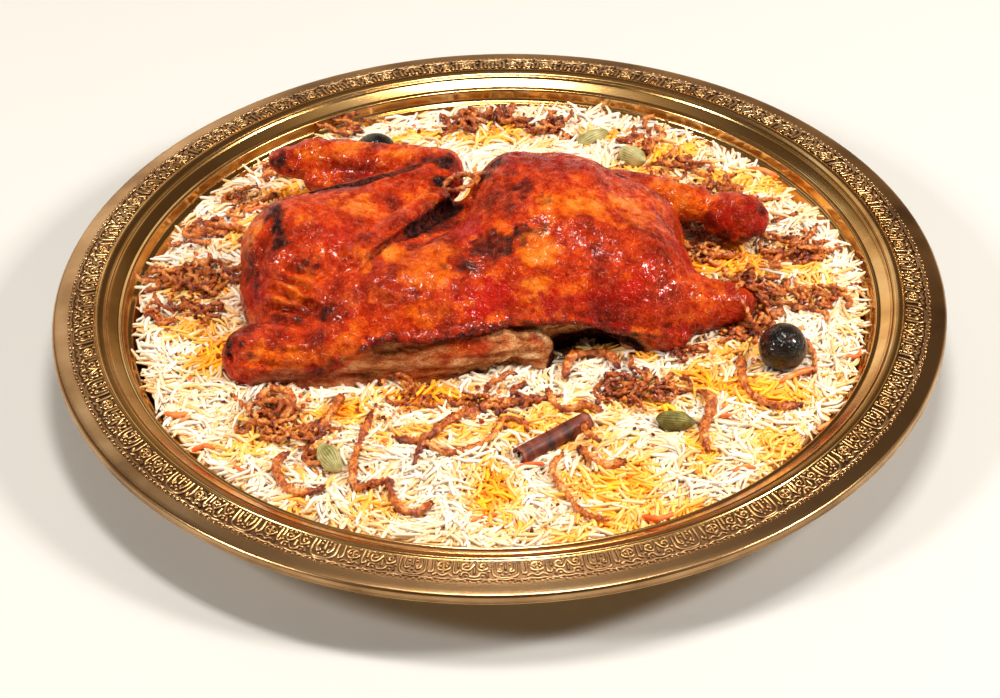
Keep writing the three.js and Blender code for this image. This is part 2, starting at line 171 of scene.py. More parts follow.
# Darker, duller brass for the rim and lip: painted shade for their dark reflection.
shaded_rim_brass = add(tree, "ShaderNodeValToRGB", {"Fac": cloud}, [
    (0.3, "#7A5C3E"), (0.48, "#AE8A60"), (0.7, "#CCAA7E")])
rim_shade_share = add(tree, "ShaderNodeMapRange", {0: radius, 1: RIM_SHADE_FROM * MM, 2: RIM_SHADE_TO * MM})
patina_and_rim_shade = add(tree, "ShaderNodeMix", {"Factor": rim_shade_share, 6: golden, 7: shaded_rim_brass}, data_type="RGBA")
past_in = add(tree, "ShaderNodeMapRange", {
    0: radius, 1: ORNAMENT_IN * MM, 2: (ORNAMENT_IN + ORNAMENT_FADE_IN) * MM})
before_out = add(tree, "ShaderNodeMapRange", {
    0: radius, 1: ORNAMENT_OUT * MM, 2: (ORNAMENT_OUT - ORNAMENT_FADE_OUT) * MM})
in_band = add(tree, "ShaderNodeMath", {0: past_in, 1: before_out}, operation="MULTIPLY")
height = add(tree, "ShaderNodeSeparateXYZ", {0: place}).outputs["Z"]
height = add(tree, "ShaderNodeMath", {0: radius, 1: BAND_FALL, 2: height}, operation="MULTIPLY_ADD")
ground_z = BAND_Z + BAND_FALL * BAND_IN
on_ground = add(tree, "ShaderNodeMapRange", {
    0: height, 1: (ground_z + 0.55) * MM, 2: (ground_z + 0.15) * MM})
tarnished = add(tree, "ShaderNodeMath", {0: in_band, 1: on_ground}, operation="MULTIPLY")
tarnish = {"Factor": tarnished, 6: patina_and_rim_shade, 7: linear("#7A5C40")}
colour = add(tree, "ShaderNodeMix", tarnish, data_type="RGBA")
rings = {"W": radius, "Scale": 2600.0, "Detail": 2.0}
turning = add(tree, "ShaderNodeTexNoise", rings, noise_dimensions="1D")
marks = add(tree, "ShaderNodeBump", {"Height": turning, "Strength": 0.15, "Distance": 0.0001})
satin = add(tree, "ShaderNodeMapRange", {0: cloud, 1: 0.3, 2: 0.75, 3: 0.22, 4: 0.12})
for share, duller in ((rim_shade_share, 0.07), (in_band, 0.085)):
    satin = add(tree, "ShaderNodeMath", {0: share, 1: duller, 2: satin}, operation="MULTIPLY_ADD")
feed(shader, {"Base Color": colour, "Roughness": satin, "Normal": marks})

tray = turned("tray_spun_sheet", filleted(TRAY_SECTION), TRAY_TURNS, brass)
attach(tray, "root")
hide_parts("tray")

# ---------------------------------------------------------------------------------------------
# Rim ornament: a band of scrollwork pressed up from below with steel dies. Arched panels,
# rosettes and paired scrolls follow one another over a scalloped edge hung with beads.
ORNAMENT_TURNS = 90
ORNAMENT_Z = 37.7
ORNAMENT_SHARE = 0.82  # width of the band against the panels' own 15 mm
STROKE_RADIUS, STROKE_STEP, BEAD_RADIUS = 0.68, 0.75, 0.74
EDGING = [[(-6.6, 12.2), (-5.6, 13.2), (-3.2, 12.4), (0, 12.9), (3.2, 12.4), (5.6, 13.2), (6.6, 12.2)]]
EDGE_BEADS = [(-6.4, 13.9), (-3.9, 13.7), (-1.6, 14.2), (1.6, 14.2), (3.9, 13.7)]
ARCH = {
    "strokes": EDGING + [
        [(-5.3, 0.9), (-5.5, 5), (-5.2, 9), (-3.4, 11.1), (0, 11.6),
         (3.4, 11.1), (5.2, 9), (5.5, 5), (5.3, 0.9)],
        [(-3.4, 1.4), (-3.6, 5), (-2.7, 8), (-1.6, 7), (-2.4, 5.8)],
        [(0, 1.2), (0, 6.4)],
        [(3.4, 1.4), (3.6, 5), (2.7, 8), (1.6, 7), (2.4, 5.8)],
    ],
    "beads": EDGE_BEADS + [(0, 8.3), (-1.6, 9.7), (1.6, 9.7), (-1.7, 3), (1.7, 3), (-1.7, 1.2), (1.7, 1.2)],
}
ROSETTE = {
    "strokes": EDGING + [
        [(2.7, 5), (1.9, 6.9), (0, 7.7), (-1.9, 6.9), (-2.7, 5),
         (-1.9, 3.1), (0, 2.3), (1.9, 3.1), (2.7, 5)],
        [(-4.4, 0.9), (-4.3, 7.6), (-5.6, 9.3), (-6.1, 7.4)],
        [(4.4, 0.9), (4.3, 7.6), (5.6, 9.3), (6.1, 7.4)],
        [(-4.4, 10.8), (-2.2, 9.4), (0, 10.9), (2.2, 9.4), (4.4, 10.8)],
        [(-6.1, 0.9), (-6.1, 5.4)],
    ],
    "beads": EDGE_BEADS + [
        (0, 5), (0, 3.7), (0, 6.3), (1.3, 5), (-1.3, 5), (-2.6, 1.3), (2.6, 1.3), (0, 9)],
}
SCROLLS = {
    "strokes": EDGING + [
        [(0, 1), (-0.4, 3), (-2.6, 6.9), (-5, 5.6), (-4.8, 3), (-2.8, 2.8), (-2.5, 4.6), (-3.6, 4.7)],
        [(0, 1), (0.4, 3), (2.6, 6.9), (5, 5.6), (4.8, 3), (2.8, 2.8), (2.5, 4.6), (3.6, 4.7)],
        [(-5.6, 10.8), (-5, 8.6), (-2.4, 8.6), (-1.6, 10.6), (0, 11.2),
         (1.6, 10.6), (2.4, 8.6), (5, 8.6), (5.6, 10.8)],
        [(0, 5.4), (0, 9)],
    ],
    "beads": EDGE_BEADS + [
        (-3.6, 10.3), (3.6, 10.3), (-6, 7.2), (6, 7.2), (-2.2, 1), (2.2, 1), (-4.6, 1), (4.6, 1)],
}


def tree_of(name, inputs):
    """An empty geometry tree with one input for each name and kind of socket."""
    tree = bpy.data.node_groups.new(name, "GeometryNodeTree")
    for label, kind in inputs.items():
        tree.interface.new_socket(label, in_out="INPUT", socket_type="NodeSocket" + kind)
    tree.interface.new_socket("Geometry", in_out="OUTPUT", socket_type="NodeSocketGeometry")
    return tree, add(tree, "NodeGroupInput").outputs


def grown(name, tree, values, base=None):
    """The plain mesh object that a geometry tree makes on a base mesh from these values."""
    base = base or bpy.data.meshes.new(name)
    made = bpy.data.objects.new(name, base)
    bpy.context.scene.collection.objects.link(made)
    modifier = made.modifiers.new(name, "NODES")
    modifier.node_group = tree
    for item in tree.interface.items_tree:
        if item.in_out == "INPUT" and item.name in values:
            modifier[item.identifier] = values[item.name]
    bpy.context.view_layer.update()
    graph = bpy.context.evaluated_depsgraph_get()
    mesh = bpy.data.meshes.new_from_object(made.evaluated_get(graph))
    made.modifiers.remove(modifier)
    made.data = mesh
    mesh.name = name
    return made


def strokes_object(name, strokes):
    """A hidden curve object with a poly spline through each stroke's points."""
    curve = bpy.data.curves.new(name, "CURVE")
    curve.dimensions = "3D"
    for stroke in strokes:
        spline = curve.splines.new("POLY")
        spline.points.add(len(stroke) - 1)
        for point, at in zip(spline.points, stroke):
            point.co = (at[0] * MM, at[1] * ORNAMENT_SHARE * MM, 0, 1)
    return bpy.data.objects.new(name, curve)


motif_tree, given = tree_of("ring_of_motifs", {
    "Strokes": "Object", "Beads": "Object", "Copies": "Int", "First angle": "Float", "Radius": "Float",
    "Height": "Float", "Fall": "Float", "Stroke radius": "Float", "Bead radius": "Float", "Step": "Float",
    "Material": "Material"})
t = motif_tree
drawn = add(t, "GeometryNodeObjectInfo", {"Object": given["Strokes"]}).outputs["Geometry"]
smooth = add(t, "GeometryNodeCurveSplineType", {"Curve": drawn}, spline_type="CATMULL_ROM")
even = add(t, "GeometryNodeResampleCurve", {"Curve": smooth, "Length": given["Step"]}, mode="LENGTH")
wire = add(t, "GeometryNodeCurvePrimitiveCircle", {"Resolution": 6, "Radius": given["Stroke radius"]})
strokes = add(t, "GeometryNodeCurveToMesh", {"Curve": even, "Profile Curve": wire, "Fill Caps": True})
dots = add(t, "GeometryNodeObjectInfo", {"Object": given["Beads"]}).outputs["Geometry"]
ball = add(t, "GeometryNodeMeshIcoSphere", {"Radius": given["Bead radius"], "Subdivisions": 2})
beads = add(t, "GeometryNodeInstanceOnPoints", {"Points": dots, "Instance": ball.outputs["Mesh"]})
motif = add(t, "GeometryNodeJoinGeometry")
for part in (beads, strokes):
    t.links.new(part.outputs[0], motif.inputs[0])
seat = add(t, "ShaderNodeCombineXYZ", {"Y": given["Radius"], "Z": given["Height"]})
lean = add(t, "ShaderNodeCombineXYZ", {"X": given["Fall"]})
placed = add(t, "GeometryNodeTransform", {"Geometry": motif, "Translation": seat, "Rotation": lean})
hub = add(t, "GeometryNodePoints", {"Count": given["Copies"]})
step = add(t, "ShaderNodeMath", {0: 2 * math.pi, 1: given["Copies"]}, operation="DIVIDE")
which = add(t, "GeometryNodeInputIndex")
turn = add(t, "ShaderNodeMath", {0: which, 1: step, 2: given["First angle"]}, operation="MULTIPLY_ADD")
turn = add(t, "ShaderNodeCombineXYZ", {"Z": turn})
ring = add(t, "GeometryNodeInstanceOnPoints", {"Points": hub, "Instance": placed, "Rotation": turn})
real = add(t, "GeometryNodeRealizeInstances", {"Geometry": ring})
round_look = add(t, "GeometryNodeSetShadeSmooth", {"Geometry": real})
dressed = add(t, "GeometryNodeSetMaterial", {"Geometry": round_look, "Material": given["Material"]})
add(t, "NodeGroupOutput", {"Geometry": dressed})

for order, (label, motif) in enumerate({"arch": ARCH, "rosette": ROSETTE, "scrolls": SCROLLS}.items()):
    dots = bpy.data.meshes.new(label + "_beads")
    dots.from_pydata([(u * MM, v * ORNAMENT_SHARE * MM, 0) for u, v in motif["beads"]], [], [])
    ornament = grown("rim_" + label, motif_tree, {
        "Strokes": strokes_object(label + "_strokes", motif["strokes"]),
        "Beads": bpy.data.objects.new(label + "_beads", dots), "Copies": ORNAMENT_TURNS // 3,
        "First angle": order * 2 * math.pi / ORNAMENT_TURNS, "Radius": ORNAMENT_IN * MM,
        "Height": ORNAMENT_Z * MM, "Fall": -math.atan(BAND_FALL), "Stroke radius": STROKE_RADIUS * MM,
        "Bead radius": BEAD_RADIUS * MM, "Step": STROKE_STEP * MM, "Material": brass})
    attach(ornament, "root")
    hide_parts("tray")

# ---------------------------------------------------------------------------------------------
# Rice: a heap of long basmati grains, boiled, drained and steamed over the meat. Saffron water
# and dye are poured on in places, so white grains lie mixed with yellow and orange ones.
HEAP_RADIUS = 163.0
HEAP_EDGE_Z, HEAP_RISE = 30.0, 4.6
CORE_DEPTH = 0.3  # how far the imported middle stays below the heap's top
CORE_RADIUS = 161
CORE_FLANK = ((157.5, 12.0), (150, 3.0))  # radius and height of its side, from the top down
CORE_UNDER_BIRD, CORE_FOOT_Z = 26.2, 2.6
BIRD_CLEAR, THIGH_CLEAR = 34.5, 50.0  # the bird covers the rice where it is lower than this
THIGH_X, THIGH_Y, THIGH_REACH = 42, -41, 21  # where the hollow under the thigh is
GRAIN_LENGTH, GRAIN_RADIUS = 15.0, 0.98
GRAIN_SIDES = 5
GRAINS_PER_M2 = 262000
GRAIN_LAYER = 1.7
# Where saffron water was poured: place, reach along x and y, and how strong it is.
SAFFRON = [
    ((-127, -33), (15, 13), 1.0), ((-68, -76), (16, 7), 0.8), ((-34, -67), (22, 8), 1.0),
    ((-6, -131), (13, 18), 0.95), ((-110, 53), (22, 14), 0.55), ((-95, 88), (16, 7), 0.9),
    ((52, -37), (20, 8), 0.7), ((58, -125), (12, 18), 0.65), ((96, -64), (24, 12), 0.75),
    ((84, -101), (7, 16), 0.7), ((122, -70), (20, 11), 0.75), ((146, -49), (7, 26), 0.2),
    ((100, 24), (26, 12), 0.75), ((140, 6), (18, 22), 0.25), ((114, 87), (26, 12), 0.6),
    ((84, 115), (22, 10), 0.7), ((-36, 132), (20, 8), 0.65), ((6, 136), (24, 8), 0.6),
    ((48, 128), (14, 8), 0.6), ((-138, -12), (16, 8), 0.5), ((-110, -100), (12, 8), 0.5),
    ((82, -144), (14, 10), 0.6), ((24, -159), (14, 6), 0.5), ((-2, 57), (20, 30), 0.6),
    ((-80, 68), (30, 22), 0.45), ((-52, -136), (10, 6), 0.45), ((118, -105), (10, 16), 0.35),
    ((30, -85), (22, 12), 0.35), ((-18, -93), (26, 10), 0.35), ((66, -80), (14, 8), 0.6),
    ((-84, -133), (8, 6), 0.5), ((0, -154), (12, 5), 0.4), ((-134, 18), (20, 16), 0.5),
    ((-96, -86), (20, 16), 0.45), ((60, -72), (22, 14), 0.5), ((112, 0), (16, 14), 0.6),
    ((134, 30), (14, 12), 0.4), ((36, -100), (20, 12), 0.4), ((38, -130), (16, 14), 0.5),
    ((42, -150), (18, 9), 0.6), ((-4, 132), (26, 12), 0.5), ((2, -92), (24, 8), 0.5),
    ((-44, -92), (26, 8), 0.4), ((84, -114), (14, 12), 0.45), ((64, -143), (12, 7), 0.45),
    ((-92, -112), (16, 9), 0.35), ((114, -40), (22, 13), 0.45), ((60, 98), (30, 10), 0.4),
    ((-62, 118), (26, 9), 0.35),
]


def noise(p, wave, seed):
    """Smooth noise from -1 to 1 with bumps about one wave apart, in mm on each axis."""
    lattice = np.random.default_rng(seed).uniform(-1, 1, (32, 32, 32))
    q = p / np.asarray(wave, float) + 7.3
    whole = np.floor(q).astype(int)
    f = q - whole
    f = f * f * (3 - 2 * f)
    found = 0
    for i in range(8):
        corner = np.array((i & 1, i >> 1 & 1, i >> 2))
        weight = np.prod(np.where(corner, f, 1 - f), -1)
        x, y, z = np.moveaxis((whole + corner) % 32, -1, 0)
        found = found + weight * lattice[x, y, z]
    return found


def spot(p, centre, radii, warp=0.0):
    """1 at a centre, falling to 0 at about these radii, with an edge ragged by the warp."""
    away = np.linalg.norm((p - np.array(centre, float)) / np.asarray(radii, float), axis=-1)
    return np.clip(1.25 - away + warp, 0, 1) ** 2 * (3 - 2 * np.clip(1.25 - away + warp, 0, 1))


def heap_top(x, y):
    """Height of the heap, before the grains roughen it."""
    r = np.hypot(x, y) / HEAP_RADIUS
    lumps = 0.9 * np.sin(0.071 * x + 0.7) * np.cos(0.083 * y - 0.4)
    lumps = lumps + 0.6 * np.sin(0.153 * x - 0.117 * y + 1.9) + 0.4 * np.cos(0.211 * x + 0.263 * y)
    return HEAP_EDGE_Z + HEAP_RISE * (1 - np.minimum(r, 1) ** 3.4) + lumps * np.clip(6 * (1 - r), 0, 1)


def under_bird(x, y):
    """Whether the bird rests on the heap here."""
    hit = bird_cast.ray_cast(Vector((x * MM, y * MM, 0)), Vector((0, 0, 1)))[0]
    under_thigh = math.hypot(x - THIGH_X, 2 * (y - THIGH_Y)) < THIGH_REACH
    return hit is not None and hit.z < (THIGH_CLEAR if under_thigh else BIRD_CLEAR) * MM


solid = bpy.data.objects["chicken"].data
bird_cast = BVHTree.FromPolygons([v.co for v in solid.vertices], [p.vertices for p in solid.polygons])

# The middle of the heap, which shows only between the grains: packed rice, moist and shaded,
# cream where it is plain and yellow where the saffron ran down.
core_finish, tree, shader = finish_of("packed_rice", Roughness=0.6)
place = add(tree, "ShaderNodeTexCoord").outputs["Object"]
tone = add(tree, "ShaderNodeAttribute", attribute_name="saffron").outputs["Fac"]
clump = add(tree, "ShaderNodeTexNoise", {"Vector": place, "Scale": 300.0, "Detail": 3.0})
mixed = add(tree, "ShaderNodeMath", {0: clump, 1: 0.5, 2: tone}, operation="MULTIPLY_ADD")
cream = add(tree, "ShaderNodeValToRGB", {"Fac": mixed}, [
    (0.15, "#FFD898"), (0.4, "#FFD488"), (0.75, "#FFC040"), (1.0, "#F4982C")])
relief = add(tree, "ShaderNodeBump", {"Height": clump, "Strength": 0.8, "Distance": 0.0015})
feed(shader, {"Base Color": cream, "Normal": relief})

turns, rings = 240, 80
angles = 2 * math.pi * np.arange(turns) / turns
# The heap was tipped in towards the near side, so its outline is not quite the tray's.
ahead, aside = np.sin(angles), np.cos(angles)
outline = CORE_RADIUS - 4.5 * np.maximum(ahead, 0) + 4 * np.maximum(-ahead, 0) - 1.2 * np.maximum(-aside, 0)
outline += 0.8 * np.sin(5 * angles + 1.3) + 0.6 * np.sin(11 * angles)
radii = np.outer(np.arange(1, rings + 1) / rings, outline)
flat = np.concatenate([[[0.0, 0.0]], np.stack([radii * aside, radii * ahead], -1).reshape(-1, 2)])
share_out = np.concatenate([[0.0], np.repeat(np.arange(1, rings + 1) / rings, turns)])
covered = np.array([under_bird(x, y) for x, y in flat])
flat3 = np.column_stack([flat, np.zeros(len(flat))])
core_z = heap_top(*flat.T) - CORE_DEPTH + 0.9 * noise(flat3, 9, 51)
core_z[covered] = np.minimum(core_z[covered], CORE_UNDER_BIRD)
saffron = np.zeros(len(flat))
ragged = 0.35 * noise(flat3, 13, 52) + 0.2 * noise(flat3, 6, 53)
for centre, reach, strength in SAFFRON:
    saffron = np.maximum(saffron, strength * spot(flat3, (*centre, 0), (*reach, 1), ragged))
saffron = np.clip(saffron + 0.03 + 0.16 * noise(flat3, 24, 54) + 0.12 * noise(flat3, 9, 57), 0, 1)

top = [(0, 1 + s, 1 + (s + 1) % turns) for s in range(turns)]
for ring in range(rings - 1):
    a = 1 + ring * turns
    top += [(a + s, a + turns + s, a + turns + (s + 1) % turns, a + (s + 1) % turns) for s in range(turns)]
points = np.column_stack([flat, core_z])
below, count = [], len(points)
edge = 1 + (rings - 1) * turns
for r, z in CORE_FLANK:
    below += [(r * math.cos(a), r * math.sin(a), z) for a in angles]
faces = list(top)
around = [(s, (s + 1) % turns) for s in range(turns)]
for first, second in ((edge, count), (count, count + turns)):
    faces += [(first + s, second + s, second + n, first + n) for s, n in around]
faces += [(count + turns + s, count + 2 * turns, count + turns + n) for s, n in around]
core = mesh_object("rice_core", np.concatenate([points, below, [(0, 0, CORE_FOOT_Z)]]), faces, core_finish)
tones = np.concatenate([saffron, np.zeros(2 * turns + 1)])
core.data.attributes.new("saffron", "FLOAT", "POINT").data.foreach_set("value", tones)
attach(core, "root")
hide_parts("rice")

# The grains are strewn over the heap's top alone, where no bird lies.
ground = bpy.data.meshes.new("heap_top")
ground.from_pydata((points * MM).tolist(), [], top)
lay = 2 * math.pi * noise(flat3, 30, 55) + 1.5 * noise(flat3, 11, 56)
bare = (~covered & (share_out < 0.99)).astype(float)
for label, values in (("bare", bare), ("saffron", saffron), ("lay", lay)):
    ground.attributes.new(label, "FLOAT", "POINT").data.foreach_set("value", values)


def grain_mesh(name, bend, fullness):
    """One grain along x, bent by so many millimetres, with blunt tips."""
    along = np.array([-0.5, -0.465, -0.18, 0.17, 0.47, 0.5])
    thick = GRAIN_RADIUS * fullness * np.array([0, 0.72, 1.0, 0.98, 0.6, 0])
    points, faces = [], []
    for share, r in zip(along, thick):
        centre = (GRAIN_LENGTH * share, bend * (1 - 4 * share * share), 0)
        spokes = 2 * math.pi * np.arange(GRAIN_SIDES if r else 1) / GRAIN_SIDES
        points += [(centre[0], centre[1] + r * math.cos(a), r * 0.85 * math.sin(a)) for a in spokes]
    tip = len(points) - 1
    for s in range(GRAIN_SIDES):
        n = (s + 1) % GRAIN_SIDES
        faces += [(0, 1 + s, 1 + n), (tip, tip - GRAIN_SIDES + n, tip - GRAIN_SIDES + s)]
        for ring in range(3):
            a = 1 + ring * GRAIN_SIDES
            faces.append((a + s, a + GRAIN_SIDES + s, a + GRAIN_SIDES + n, a + n))
    mesh = bpy.data.meshes.new(name)
    mesh.from_pydata((np.array(points) * MM).tolist(), [], [f[::-1] for f in faces])
    mesh.polygons.foreach_set("use_smooth", [True] * len(mesh.polygons))
    return bpy.data.objects.new(name, mesh)


grain_kit = bpy.data.collections.new("grain_shapes")
for order, (bend, fullness) in enumerate([(0.5, 1.0), (1.8, 0.92), (3.4, 0.95), (-1.1, 1.08), (2.4, 0.85)]):
    grain_kit.objects.link(grain_mesh(f"grain_{order}", bend, fullness))

strewn_tree, given = tree_of("strewn_pieces", {
    "Geometry": "Geometry", "Shapes": "Collection", "Density": "Float", "Seed": "Int", "From tone": "Float",
    "To tone": "Float", "Spread": "Float", "Layer": "Float", "Tilt": "Float", "Turn": "Float",
    "Smallest": "Float", "Largest": "Float", "Material": "Material"})
t = strewn_tree
bare = add(t, "GeometryNodeInputNamedAttribute", {"Name": "bare"}, data_type="FLOAT")
density = add(t, "ShaderNodeMath", {0: bare, 1: given["Density"]}, operation="MULTIPLY")
strewn = add(t, "GeometryNodeDistributePointsOnFaces", {
    "Mesh": given["Geometry"], "Density": density, "Seed": given["Seed"]})

# What each piece draws at random, and between which limits.
ROLL = 0.9
below = {
    name: add(t, "ShaderNodeMath", {0: given[name], 1: -1.0}, operation="MULTIPLY")
    for name in ("Spread", "Turn", "Tilt")
}
spans = {
    "raised": (0.0, 1.0), "tone": (below["Spread"], given["Spread"]),
    "turn": (below["Turn"], given["Turn"]), "roll": (-ROLL, ROLL), "tilt": (below["Tilt"], given["Tilt"]),
    "size": (given["Smallest"], given["Largest"]), "tint": (0.0, 1.0)}
drawn = {}
for salt, (what, (low, high)) in enumerate(spans.items(), 1):
    seed = add(t, "ShaderNodeMath", {0: given["Seed"], 1: salt}, operation="ADD")
    limits = {"Min": low, "Max": high, "Seed": seed}
    drawn[what] = add(t, "FunctionNodeRandomValue", limits, data_type="FLOAT").outputs[1]

noted = {"Geometry": strewn.outputs["Points"], "Name": "raised", "Value": drawn["raised"]}
noted = add(t, "GeometryNodeStoreNamedAttribute", noted, data_type="FLOAT", domain="POINT")
lift = add(t, "ShaderNodeMath", {0: drawn["raised"], 1: given["Layer"]}, operation="MULTIPLY")
lift = add(t, "ShaderNodeCombineXYZ", {"Z": lift})
lifted = add(t, "GeometryNodeSetPosition", {"Geometry": noted, "Offset": lift})
tone = add(t, "GeometryNodeInputNamedAttribute", {"Name": "saffron"}, data_type="FLOAT")
tone = add(t, "ShaderNodeMath", {0: tone, 1: drawn["tone"]}, operation="ADD")
within = [
    add(t, "FunctionNodeCompare", {0: tone, 1: given[limit]}, data_type="FLOAT", operation=side)
    for limit, side in (("From tone", "GREATER_EQUAL"), ("To tone", "LESS_THAN"))
]
chosen = add(t, "FunctionNodeBooleanMath", {0: within[0], 1: within[1]}, operation="AND")
lie = add(t, "GeometryNodeInputNamedAttribute", {"Name": "lay"}, data_type="FLOAT")
heading = add(t, "ShaderNodeMath", {0: lie, 1: drawn["turn"]}, operation="ADD")
pose = add(t, "ShaderNodeCombineXYZ", {"X": drawn["roll"], "Y": drawn["tilt"], "Z": heading})
shapes = add(t, "GeometryNodeCollectionInfo", {"Collection": given["Shapes"], "Separate Children": True})
pieces = add(t, "GeometryNodeInstanceOnPoints", {
    "Points": lifted, "Selection": chosen, "Instance": shapes, "Pick Instance": True, "Rotation": pose,
    "Scale": drawn["size"]})
tinted = {"Geometry": pieces, "Name": "tint", "Value": drawn["tint"]}
tinted = add(t, "GeometryNodeStoreNamedAttribute", tinted, data_type="FLOAT", domain="INSTANCE")
real = add(t, "GeometryNodeRealizeInstances", {"Geometry": tinted})
dressed = add(t, "GeometryNodeSetMaterial", {"Geometry": real, "Material": given["Material"]})
add(t, "NodeGroupOutput", {"Geometry": dressed})

# Boiled basmati: a translucent starchy grain with a damp, satin surface. Each grain differs a
# little.
GRAIN_KINDS = {  # tone from, tone to, the palest, middle and deepest colour, and the sunk grains' painted shade
    "white": (-9.0, 0.06, ("#F3EFE8", "#EEE7DC", "#E8DCCA"), "#F4D0A0"),
    "cream": (0.06, 0.19, ("#F4ECDC", "#F0E2CA", "#EAD4B0"), "#F2CA94"),
    "ivory": (0.19, 0.35, ("#F4E0BC", "#F0D09A", "#E8B876"), "#F4BC70"),
    "pale_saffron": (0.35, 0.66, ("#F8DA90", "#F6C054", "#F0A63C"), "#FFB448"),
    "saffron": (0.66, 9.0, ("#FFD23C", "#FFB01E", "#F58A22"), "#FFA828"),
}
for label, (from_tone, to_tone, colours, sunk_shade_colour) in GRAIN_KINDS.items():
    boiled, tree, shader = finish_of("boiled_grain_" + label, Roughness=0.42, Specular_IOR_Level=0.3)
    tint = add(tree, "ShaderNodeAttribute", attribute_name="tint").outputs["Fac"]
    place = add(tree, "ShaderNodeTexCoord").outputs["Object"]
    cloud = add(tree, "ShaderNodeTexNoise", {"Vector": place, "Scale": 220.0, "Detail": 2.0})
    shade = add(tree, "ShaderNodeMath", {0: cloud, 1: 0.6, 2: tint}, operation="MULTIPLY_ADD")
    shade = add(tree, "ShaderNodeMapRange", {0: shade, 1: 0.2, 2: 1.35})
    colour = add(tree, "ShaderNodeValToRGB", {"Fac": shade}, zip((0.0, 0.5, 1.0), colours))
    # Grains lying low in the layer are coloured warmer and darker: painted shade for the gaps between grains.
    raised = add(tree, "ShaderNodeAttribute", attribute_name="raised").outputs["Fac"]
    sunk_grain_shade = add(tree, "ShaderNodeMapRange", {0: raised, 1: 0.25, 2: 0.8, 3: 0.75, 4: 0.0})
    shaded = {"Factor": sunk_grain_shade, 6: colour, 7: linear(sunk_shade_colour)}
    feed(shader, {"Base Color": add(tree, "ShaderNodeMix", shaded, data_type="RGBA")})
    grains = grown("rice_" + label, strewn_tree, {
        "Shapes": grain_kit, "Density": float(GRAINS_PER_M2), "Seed": 7, "From tone": from_tone,
        "To tone": to_tone, "Spread": 0.2, "Layer": GRAIN_LAYER * MM, "Tilt": 0.24, "Turn": 0.95,
        "Smallest": 0.72, "Largest": 1.15, "Material": boiled}, base=ground.copy())
    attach(grains, "root")
    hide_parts("rice")

# ---------------------------------------------------------------------------------------------
# Bird: a chicken, spiced, dyed orange and roasted until its skin has shrunk, wrinkled and
# charred at the tips. It lies skin up, with the cut side's pale meat showing under the skin.
BIRD_CELL, BIRD_MARGIN = 1.03, 4.3  # the grid that it is made on, and the room left round it
BIRD_SEAT_Z = 27.0
SKIN_ROLL = 1.8
PIT_DEPTH, PIT_REACH = 3.0, 2.6
# Height of the skin's lower edge on the near side, by x.
SKIN_EDGE = [
    (-125, 22), (-95, 33), (-70, 50), (-50, 60), (30, 57), (50, 52.5), (68, 47.5), (82, 41), (96, 34),
    (120, 25),
]
HOLLOW = ((41, -42, 36.5), (21, 13, 8.5))  # middle and reach of the hollow under the thigh
# Deep folds, as where each starts and ends, how wide it is there and how strongly painted shade
# darkens along it: under the edge of the upper wing, between the two parts of the wing, and where
# the far leg leaves the thigh.
CREASES = [
    ((-19, 31, 67), (-38, -1, 76), 3.6, 2.6, 0.9), ((-38, -1, 76), (-56, -21, 78.5), 2.6, 1.4, 0.55),
    ((-56, -21, 78.5), (-72, -30, 73.5), 1.4, 0.8, 0.2), ((-92, 28, 76), (-61, 35, 78.5), 3.0, 2.8, 0.95),
    ((-61, 35, 78.5), (-36, 55, 73), 2.8, 2.0, 0.8), ((54, 36, 74), (66, 44, 60), 2.6, 3.0, 0.9),
]


def join(a, b, k):
    """The union of two distances with a fillet of about k."""
    h = np.maximum(k - np.abs(a - b), 0) / k
    return np.minimum(a, b) - h * h * k / 4


def cut(a, b, k):
    """a without b, with a fillet of about k."""
    return -join(-a, b, k)


def egg(p, centre, radii, yaw=0, pitch=0):
    """Distance to an egg with these half sizes, turned by so many degrees."""
    turn = Matrix.Rotation(math.radians(yaw), 3, "Z") @ Matrix.Rotation(math.radians(-pitch), 3, "Y")
    q = (p - np.float32(centre)) @ np.array(turn, np.float32) / np.float32(radii)
    near = np.sqrt((q * q).sum(-1))
    q = q / np.float32(radii)
    return near * (near - 1) / np.maximum(np.sqrt((q * q).sum(-1)), 1e-6)


def limb(p, start, end, start_radius, end_radius, flat=1.0):
    """Distance to a round-ended cone, flattened in height."""
    along = np.float32(end) - np.float32(start)
    q = p - np.float32(start)
    t = np.clip(q @ along / (along @ along), 0, 1)
    away = q - t[..., None] * along
    away[..., 2] /= flat
    return (np.sqrt((away * away).sum(-1)) - (start_radius + (end_radius - start_radius) * t)) * flat


def built(p, whole, steps):
    """A form with others joined to it or cut from it, each step as how, what, its sizes and fillet."""
    for how, form, sizes, fillet in steps:
        whole = how(whole, form(p, *sizes), fillet)
    return whole


def carcass(p):
    """Breast, back, thigh and shoulder as one full form."""
    return built(p, egg(p, (-40, -16, 42), (64, 46, 38), 4), [
        (join, egg, ((23, 11, 50), (45, 57, 42), -12), 12),
        (join, egg, ((8, 22, 54), (21, 38, 38)), 8),
        (join, egg, ((52, -8, 50), (35, 37, 32), 14), 9),
        (join, egg, ((58, 24, 48), (26, 26, 27)), 10),
        (join, egg, ((-86, 2, 44), (29, 38, 27)), 12),
        (join, egg, ((-50, 20, 40), (60, 44, 26), 4), 12),
    ])


def skin_edge(x):
    """Height of the skin's lower edge at x."""
    return np.interp(x, *zip(*SKIN_EDGE))


def skin_side(p, body):
    """The skin over it, which ends in a rolled edge on the near side."""
    near, z = p[..., 1] < 20, p[..., 2]
    edge = skin_edge(p[..., 0])
    skin = np.where(near, cut(body, z - edge, 2.5), body)
    roll = np.where(near, np.sqrt(body**2 + (z - edge) ** 2) - SKIN_ROLL, 99.0)
    return join(skin, roll, 1.5)


def cut_side(p, body):
    """The meat below that edge: the body drawn in, with two strips of muscle."""
    meat = join(body + 5, limb(p, (-82, -53, 32), (-10, -46, 34), 8, 7.5), 3)
    return join(meat, limb(p, (-64, -50, 45), (0, -46, 47), 8, 8.5), 3)


